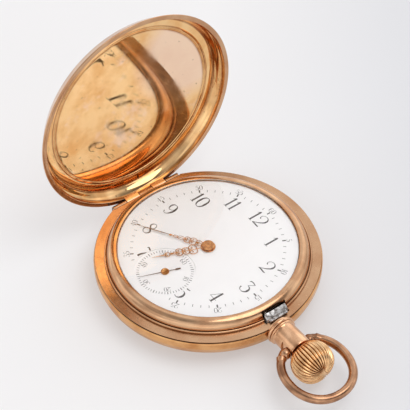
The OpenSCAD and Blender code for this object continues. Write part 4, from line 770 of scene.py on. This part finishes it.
# Glass: a thin domed crystal of polished mineral glass, seated in the bezel's groove. The eye gets almost
# nothing of it, only a faint sheen where it turns towards the light, so its IOR is lower than that of glass.
CRYSTAL_SEAT = DIAL_Z + 0.26
CRYSTAL_EDGE = 0.38
CRYSTAL_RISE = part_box("crystal")[1][2] / MM - CRYSTAL_SEAT - CRYSTAL_EDGE
glass, tree, shader, place = new_material("mineral_glass")
fill(tree, shader, {"Base Color": (1, 1, 1, 1), "Roughness": 0.01, "IOR": 1.26, "Transmission Weight": 1})
path = add_node(tree, "ShaderNodeLightPath")
clear = add_node(tree, "ShaderNodeBsdfTransparent")
pane = add_node(tree, "ShaderNodeMixShader", {
    0: path.outputs["Is Shadow Ray"], 1: shader.outputs[0], 2: clear.outputs[0]})
fill(tree, tree.nodes["Material Output"], {"Surface": pane.outputs[0]})


def crystal_rise(r):
    """Height of the crystal's dome over its edge, at a radius."""
    return CRYSTAL_RISE * (1 - (r / GLASS_R) ** 3)


rings = [GLASS_R * i / 24 for i in range(25)]
bm = turned([(r, CRYSTAL_SEAT + CRYSTAL_EDGE + crystal_rise(r)) for r in rings]
            + [(r, CRYSTAL_SEAT + crystal_rise(r)) for r in reversed(rings)], steps=128)
add_piece("crystal_dome", bm, [glass], CASE_BODY, "crystal", "crystal")

# Pendant: a turned tube of rose gold, soldered in the band, with a round collar at its foot and a waist.
# The winding stem runs through it, in a steel sleeve, and the bow's pivots turn in its sides.
STEM_Z = LEDGE_Z - 1
BOW_X = CASE_R + 6.2
NECK = 2.95
NECK_END = BOW_X + 1.63
FLAT_Y = 2.5
STEM_BORE = 1.55


def along_stem(outline, steps=96):
    """A closed outline of (radius, x) points in millimetres, turned about the stem's axis."""
    bm = turned(outline, steps)
    put(bm, bm.verts, angle=90, axis="Y")
    bmesh.ops.translate(bm, vec=(0, 0, STEM_Z * MM), verts=bm.verts)
    return bm


# The gold of the fittings gives the eye a paler, pinker gloss, with dark lines where two turned steps meet:
# painted shade from ambient occlusion, partly old dirt.
rose_fittings = worn_metal("rose_gold_fittings", "EDBD95", "AA7650", 0.12, 3, dirt_and_shade_mm=0.5)
bm = along_stem([(STEM_BORE, CASE_R - 0.25)] + beside(NECK, CASE_R, (-0.03, -0.25), (-0.03, 0.1), (0.2, 0.14))
                + arc(NECK + 0.12, CASE_R + 0.6, 0.42, -66, 66, 12) + [(NECK + 0.12, CASE_R + 1.06)]
                + arc(NECK + 0.1, CASE_R + 1.38, 0.28, -62, 62, 8)
                + beside(NECK, CASE_R, (0.06, 1.7), (-0.04, 1.9), (-0.06, 2.4))
                + beside(NECK, NECK_END, (0.04, -0.5), (0.05, -0.25), (-0.02, -0.06), (-0.15, 0))
                + [(STEM_BORE + 0.05, NECK_END), (STEM_BORE, NECK_END - 0.05)])
for low_y in (FLAT_Y, -FLAT_Y - 2):
    cut_box(bm, (BOW_X - 1.85, low_y, STEM_Z - 3.5), (NECK_END + 1, low_y + 2, STEM_Z + 3.5))
add_piece("pendant_tube", bm, [rose_fittings], CASE_BODY, "rose_gold", "pendant")

# Crown: pressed from rose gold over a steel core and screwed on the stem, a squat ball whose round flutes
# run from its neck right over its end to a small flat. Between them ambient occlusion paints a dark brown:
# painted shade, partly old dirt from years of winding.
crown_low, crown_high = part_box("crown")
CROWN_X = crown_low[0] / MM
CROWN_LENGTH = crown_high[0] / MM - CROWN_X
CROWN_R = 4.85
FLUTES = 36
FLUTE_STEPS = 10
FLUTE_DEPTH = 0.46
CROWN_LINE = ((0, 0.62), (0.015, 0.68), (0.05, 0.77), (0.11, 0.85), (0.19, 0.92), (0.27, 0.965),
              (0.35, 0.99), (0.43, 1), (0.52, 0.995), (0.6, 0.975), (0.68, 0.94), (0.75, 0.89),
              (0.81, 0.825), (0.86, 0.75), (0.9, 0.66), (0.935, 0.55), (0.96, 0.43), (0.98, 0.31),
              (0.99, 0.2), (0.995, 0.1))
# The crown's gold gives the eye bright yellow ribs; the brown between them is painted shade, partly old dirt.
crown_gold = worn_metal("rose_gold_crown", "F8CC9A", "BC8854", 0.14, 2, dirt_and_shade_mm=0.42)
bm = along_stem([(0, CROWN_X)] + [(r * CROWN_R, CROWN_X + x * CROWN_LENGTH) for x, r in CROWN_LINE]
                + [(0, CROWN_X + CROWN_LENGTH)], steps=FLUTES * FLUTE_STEPS)
bm.normal_update()
moves = []
for vert in bm.verts:
    across = Vector((0, vert.co.y, vert.co.z - STEM_Z * MM))
    share = across.length / MM / CROWN_R
    near_end = max(0, min(1, (share - 0.14) / 0.22))
    near_neck = max(0, min(1, (vert.co.x / MM - CROWN_X) / 0.5))
    wave = abs(sin(FLUTES / 2 * atan2(across.z, across.y)))
    depth = FLUTE_DEPTH * near_end * near_neck * (1 - wave) * (0.45 + 0.55 * share)
    moves.append((vert, -vert.normal * depth * MM))
for vert, move in moves:
    vert.co += move
add_piece("crown_fluted", bm, [crown_gold], "crown", "rose_gold", "crown", crease=60)

# Bow: round rose gold wire bent to a loop a little squarer than a circle. Its ends are swollen to balls with
# a turned bead, faced off beside the pendant, and carry the pivots it swings on.
BOW_DROOP = 4.5
BOW_HALF = 7.5
BOW_HALF_LENGTH = 7.98
BOW_MIDDLE = 7.15
BOW_SQUARE = 2.11
BOW_STEPS = 120
BALL_R = 1.3
BALL_FACE = 2.62
BALL_AT = (0.3, 3.3)
PIVOT_R = 0.62
PIVOT_IN = 1.62


def bow_point(turn):
    """A point of the middle of the bow's wire, in the bow's own plane, from its pivots."""
    c, s = cos(turn), sin(turn)
    return (BOW_MIDDLE + BOW_HALF_LENGTH * (abs(c) ** (2 / BOW_SQUARE)) * (1 if c > 0 else -1),
            BOW_HALF * (abs(s) ** (2 / BOW_SQUARE)) * (1 if s > 0 else -1))


# Its gold gives the eye a browner, darker gloss than the case, darkened in its corners by ambient
# occlusion: painted shade, partly old dirt.
bow_gold = worn_metal("rose_gold_bow", "C49674", "744A34", 0.12, 3, dirt_and_shade_mm=0.5)
curve = new_pen(12, roundness=10)
spline = curve.splines.new("POLY")
turns = [radians(-156.5 + 313 * i / BOW_STEPS) for i in range(BOW_STEPS + 1)]
spline.points.add(len(turns) - 1)
for knot, turn in zip(spline.points, turns):
    x, y = bow_point(turn)
    gap = hypot(x - BALL_AT[0], abs(y) - BALL_AT[1])
    knot.co = (x * MM, y * MM, 0, 1)
    knot.radius = 0.97 + 0.05 * cos(turn / 2) + 0.22 * exp(-((gap - 1.75) / 0.28) ** 2)
bm = pressed(curve)
for side in (-1, 1):
    ball = bmesh.ops.create_uvsphere(bm, u_segments=48, v_segments=32, radius=BALL_R * MM)["verts"]
    put(bm, ball, (BALL_AT[0], side * BALL_AT[1], 0))
    geometry = (ball + [e for e in bm.edges if e.verts[0] in ball]
                + [f for f in bm.faces if f.verts[0] in ball])
    cut_flat(bm, geometry, (0, side * BALL_FACE, 0), (0, -side, 0))
    ends = sorted((side * PIVOT_IN, side * (BALL_FACE + 0.4)))
    add_tube(bm, (0, 0), PIVOT_R, *ends, sides=32)
put(bm, bm.verts, (BOW_X, 0, STEM_Z), BOW_DROOP, "Y")
add_piece("bow_wire", bm, [bow_gold], "bow", "rose_gold", "bow")

# Lock spring: a strip of steel in the case's groove. Its bright, worn head stands in the bezel's slot and its
# nose hooks the front cover's rim until the crown pushes it in.
HEAD_OUT = 23.98
HEAD_LOW = BAND_Z + 0.5


def round_edges(bm, width, segments):
    """Rounds every edge of a mesh, by a width in millimetres."""
    bmesh.ops.bevel(bm, geom=bm.edges[:], offset=width * MM, offset_type="OFFSET", affect="EDGES",
                    segments=segments, profile=0.5, material=-1, clamp_overlap=True)


# Worn steel gives the eye a near white sheen with dull grey blotches.
head_steel, tree, shader, place = new_material("worn_bright_steel")
blotches = add_node(tree, "ShaderNodeTexNoise", {
    "Vector": place, "Scale": GRAIN / 0.8, "Detail": 4, "Roughness": 0.65})
blotch = add_node(tree, "ShaderNodeMapRange", {
    "Value": blotches.outputs["Fac"], "From Min": 0.42, "From Max": 0.6})
tone = add_node(tree, "ShaderNodeMix", {0: blotch.outputs[0], 6: linear("E6E4E2"), 7: linear("7C7672")},
                data_type="RGBA")
rough = add_node(tree, "ShaderNodeMapRange", {"Value": blotch.outputs[0], "To Min": 0.22, "To Max": 0.5})
relief = add_node(tree, "ShaderNodeBump", {
    "Strength": 0.6, "Distance": 0.08 * MM, "Height": blotches.outputs["Fac"]})
fill(tree, shader, {"Base Color": tone.outputs[2], "Roughness": rough.outputs[0],
                    "Normal": relief.outputs[0], "Metallic": 0.7})

bm = bmesh.new()
add_block(bm, (HEAD_IN + 0.2, LATCH_Y - LATCH_HALF + 0.3, HEAD_LOW),
          (HEAD_OUT, LATCH_Y + LATCH_HALF - 0.3, LEDGE_Z + 0.8))
for vert in bm.verts:
    if vert.co.z > LEDGE_Z * MM and vert.co.x < (HEAD_IN + 0.3) * MM:
        vert.co.z += 0.85 * MM
round_edges(bm, 0.14, 3)
nose = bmesh.new()
add_block(nose, (HEAD_IN + 0.25, LATCH_Y - LATCH_HALF + 0.8, LEDGE_Z + 0.32),
          (BEZEL_R + 1.05, LATCH_Y + LATCH_HALF - 0.8, LEDGE_Z + 0.68))
round_edges(nose, 0.08, 2)
strip = bmesh.new()
low, high = HEAD_LOW * MM, (HEAD_LOW + 1.2) * MM
inner, outer = (GROOVE_R - 0.6) * MM, (GROOVE_R - 0.15) * MM
verts = [strip.verts.new((r, 0, z)) for r, z in ((inner, low), (outer, low), (outer, high), (inner, high))]
face = strip.faces.new(verts)
put(strip, strip.verts, angle=3.5)
bmesh.ops.spin(strip, geom=verts + strip.edges[:] + [face], axis=(0, 0, 1), angle=radians(76.5), steps=48)
bmesh.ops.recalc_face_normals(strip, faces=strip.faces)
merge(bm, nose)
merge(bm, strip)
add_piece("lock_spring_head", bm, [head_steel], "lock_spring", "steel", "lock_spring")

# Front cover: spun from one sheet, rose gold outside and yellow inside, with a low lip that seats on the
# case, a flank that leans in, and a beaded floor. Its slightly hollow, polished inside shows the dial.
OPEN_ANGLE = radians(hinge["range_deg"][1])
LID_WALL_R = BEZEL_R + 0.87
DOME_TOP = DIAL_Z + 2.65
LIP = 0.3
FLANK = 1.65
LEAN = 36.7
SHOULDER = 2.4
MIRROR_R = GLASS_R - 0.55
MIRROR_CURVE = 0.00235
# Centre of a pale patch painted on the mirror: a painted reflection of the bright table.
PAINTED_REFLECTION_AT = Vector((-28.2, 16, 39)) * MM
# Rings of the inside that are darkened, partly tarnish and partly painted reflection of the dark room: their
# distance from the mirror's edge, and how deep the darkening is.
STAIN_AND_REFLECTION_RINGS = ((-0.3, 0), (0.1, 0.6), (0.35, 0.3), (0.75, 0.45), (1, 0.8), (1.3, 0.1), (2.6, 0),
                 (2.85, 0.9), (3.15, 0.75), (3.4, 0.3), (4.1, 0.35), (4.3, 0.85), (4.45, 0.15))


def mirror_height(r):
    """Height of the cover's inner dome, on the shut cover, at a radius."""
    return DOME_TOP - 0.7 - MIRROR_CURVE * r * r


flank_r = LID_R - FLANK
flank_z = LEDGE_Z + LIP + FLANK * cos(radians(LEAN)) / sin(radians(LEAN))
pivot_r = flank_r - SHOULDER * cos(radians(LEAN))
pivot_z = flank_z - SHOULDER * sin(radians(LEAN))
shoulder_line = arc(pivot_r, pivot_z, SHOULDER, LEAN, 84, 14)
top_r, top_z = shoulder_line[-1]
dome_rings = [top_r * i / 24 for i in range(23, -1, -1)]
mirror_rings = [MIRROR_R * i / 48 for i in range(49)]
floor_z = mirror_height(MIRROR_R)
outline = (beside(LID_WALL_R, LEDGE_Z, (0, 0.1), (0.08, 0.02))
           + beside(LID_R, LEDGE_Z, (-0.2, 0.02), (-0.05, 0.07), (0, 0.16), (0, LIP))
           + shoulder_line
           + [(r, top_z + (DOME_TOP - top_z) * (1 - (r / top_r) ** 2)) for r in dome_rings]
           + [(r, mirror_height(r)) for r in mirror_rings]
           + [(MIRROR_R + 0.12, floor_z - 0.01)]
           + arc(MIRROR_R + 0.34, floor_z - 0.05, 0.2, 175, 20, 8)
           + beside(MIRROR_R, floor_z, (0.75, -0.02), (1, 0.12), (1.16, 0.02), (1.4, -0.02))
           + [(LID_WALL_R - 1.62, floor_z - 0.06)]
           + arc(LID_WALL_R - 1.42, floor_z - 0.16, 0.15, 120, -20, 6)
           + beside(LID_WALL_R, LEDGE_Z, (-1.16, 2.53), (-1.08, 2.45))
           + [(LID_WALL_R - 1.02 + 0.94 * t, LEDGE_Z + 2.4 - 1.3 * t - 0.16 * sin(pi * t))
              for t in (0.2, 0.4, 0.6, 0.8)]
           + beside(LID_WALL_R, LEDGE_Z, (-0.06, 1.08), (0, 0.95)))
lid = turned(outline)
cut_chord(lid)
cut_box(lid, (LID_WALL_R - 1.1, LATCH_Y - LATCH_HALF + 0.6, LEDGE_Z + 0.22),
        (BEZEL_R + 1.2, LATCH_Y + LATCH_HALF - 0.6, LEDGE_Z + 0.78))
for face in lid.faces:
    middle = face.calc_center_median()
    r = hypot(middle.x, middle.y) / MM
    face.material_index = int(face.normal.z > 0.05 or r > LID_WALL_R + 0.02)
    # Faces of the shoulder outside get the painted shade.
    if face.material_index and r > top_r - 0.2 and middle.z > (flank_z - 0.6) * MM:
        face.material_index = 2
sheet_faces = len(lid.faces)
add_knuckles(lid, hinge_z, (1, 3), FRONT_KNUCKLES,
             (hinge_x - TUBE_R, hinge_z, hinge_x + TUBE_R, LEDGE_Z + 0.3))
for face in lid.faces[sheet_faces:]:
    face.material_index = 1
bmesh.ops.rotate(lid, cent=HINGE, matrix=Matrix.Rotation(-OPEN_ANGLE, 3, "Y"), verts=lid.verts)

# The yellow gold inside gives the eye a bright mirror, with pale bloom, brown specks and darker rings. Round
# one spot the pale bloom is a painted reflection of the bright table, and the darker rings are partly tarnish
# and
# partly painted reflection of the dark room. The rose gold on the shoulder outside is painted a duller brown:
# painted shade.
yellow_inside, tree, shader, place = new_material("yellow_gold_inside")
clouds = add_node(tree, "ShaderNodeTexNoise", {
    "Vector": place, "Scale": GRAIN / 6, "Detail": 6, "Roughness": 0.6})
cloud = add_node(tree, "ShaderNodeMapRange", {
    "Value": clouds.outputs["Fac"], "From Min": 0.42, "From Max": 0.7, "To Max": 0.6})
tone = add_node(tree, "ShaderNodeMix", {0: cloud.outputs[0], 6: linear("FFD499"), 7: linear("E89C48")},
                data_type="RGBA")
bloom = add_node(tree, "ShaderNodeTexNoise", {
    "Vector": place, "Scale": GRAIN / 9, "Detail": 5, "Roughness": 0.7})
bloomed = add_node(tree, "ShaderNodeMapRange", {
    "Value": bloom.outputs["Fac"], "From Min": 0.52, "From Max": 0.68, "To Max": 0.7})
shut = add_node(tree, "ShaderNodeVectorRotate", {"Vector": place, "Center": HINGE, "Angle": OPEN_ANGLE},
                rotation_type="Y_AXIS")
radius = from_axis(tree, shut.outputs[0])
inside = add_node(tree, "ShaderNodeMath", {0: radius, 1: (MIRROR_R + 0.1) * MM}, operation="LESS_THAN")
# A pale patch round one spot: painted reflection.
spot = add_node(tree, "ShaderNodeVectorMath", {0: place, 1: PAINTED_REFLECTION_AT}, operation="DISTANCE")
near = add_node(tree, "ShaderNodeMapRange", {
    "Value": spot.outputs["Value"], "From Min": 15 * MM, "From Max": 10 * MM, "To Max": 0.75})
bloom_and_reflection = add_node(tree, "ShaderNodeMath", {0: bloomed.outputs[0], 1: near.outputs[0]}, operation="MAXIMUM")
on_mirror = add_node(tree, "ShaderNodeMath", {0: bloom_and_reflection.outputs[0], 1: inside.outputs[0]},
                     operation="MULTIPLY")
pale = add_node(tree, "ShaderNodeMix", {0: on_mirror.outputs[0], 6: tone.outputs[2], 7: linear("FFE2CC")},
                data_type="RGBA")
specks = add_node(tree, "ShaderNodeTexNoise", {"Vector": place, "Scale": GRAIN / 0.9, "Detail": 3})
speck = add_node(tree, "ShaderNodeMapRange", {
    "Value": specks.outputs["Fac"], "From Min": 0.68, "From Max": 0.76, "To Max": 0.6})
spotted = add_node(tree, "ShaderNodeMix", {0: speck.outputs[0], 6: pale.outputs[2], 7: linear("8A5A34")},
                   data_type="RGBA")
dull = add_node(tree, "ShaderNodeMapRange", {
    "Value": bloom.outputs["Fac"], "From Min": 0.4, "From Max": 0.75, "To Min": 0.02, "To Max": 0.12})
wave = add_node(tree, "ShaderNodeTexNoise", {"Vector": place, "Scale": GRAIN / 8, "Detail": 1})
relief = add_node(tree, "ShaderNodeBump", {
    "Strength": 0.09, "Distance": 0.08 * MM, "Height": wave.outputs["Fac"]})
steps = add_node(tree, "ShaderNodeMapRange", {
    "Value": radius, "From Min": (MIRROR_R - 0.5) * MM, "From Max": (LID_R + 0.05) * MM})
ramp = add_node(tree, "ShaderNodeValToRGB", {0: steps.outputs[0]})
stops = ramp.color_ramp.elements
# Dark rings: partly tarnish, partly painted reflection of the dark room.
for distance, depth in STAIN_AND_REFLECTION_RINGS:
    stop = stops.new((distance + 0.5) / (LID_R + 0.55 - MIRROR_R))
    stop.color = (depth, depth, depth, 1)
stops.remove(stops[0])
stops.remove(stops[-1])
uneven = add_node(tree, "ShaderNodeMapRange", {
    "Value": clouds.outputs["Fac"], "From Min": 0.35, "From Max": 0.65, "To Min": 0.6})
dark_ring_share = add_node(tree, "ShaderNodeMath", {0: ramp.outputs[0], 1: uneven.outputs[0]}, operation="MULTIPLY")
stained = add_node(tree, "ShaderNodeMix", {0: dark_ring_share.outputs[0], 6: spotted.outputs[2], 7: linear("8A4A22")},
                   data_type="RGBA")
fill(tree, shader, {"Base Color": stained.outputs[2], "Roughness": dull.outputs[0],
                    "Normal": relief.outputs[0], "Metallic": 1})
# A duller brown rose gold for the shoulder: painted shade.
rose_shoulder_shade = worn_metal("rose_gold_shoulder_painted_shade", "A58062", "7A5840", 0.2, 3)
add_piece("front_cover_shell", lid, [yellow_inside, rose_polished, rose_shoulder_shade], "front_cover", "yellow_gold",
          "front_cover")
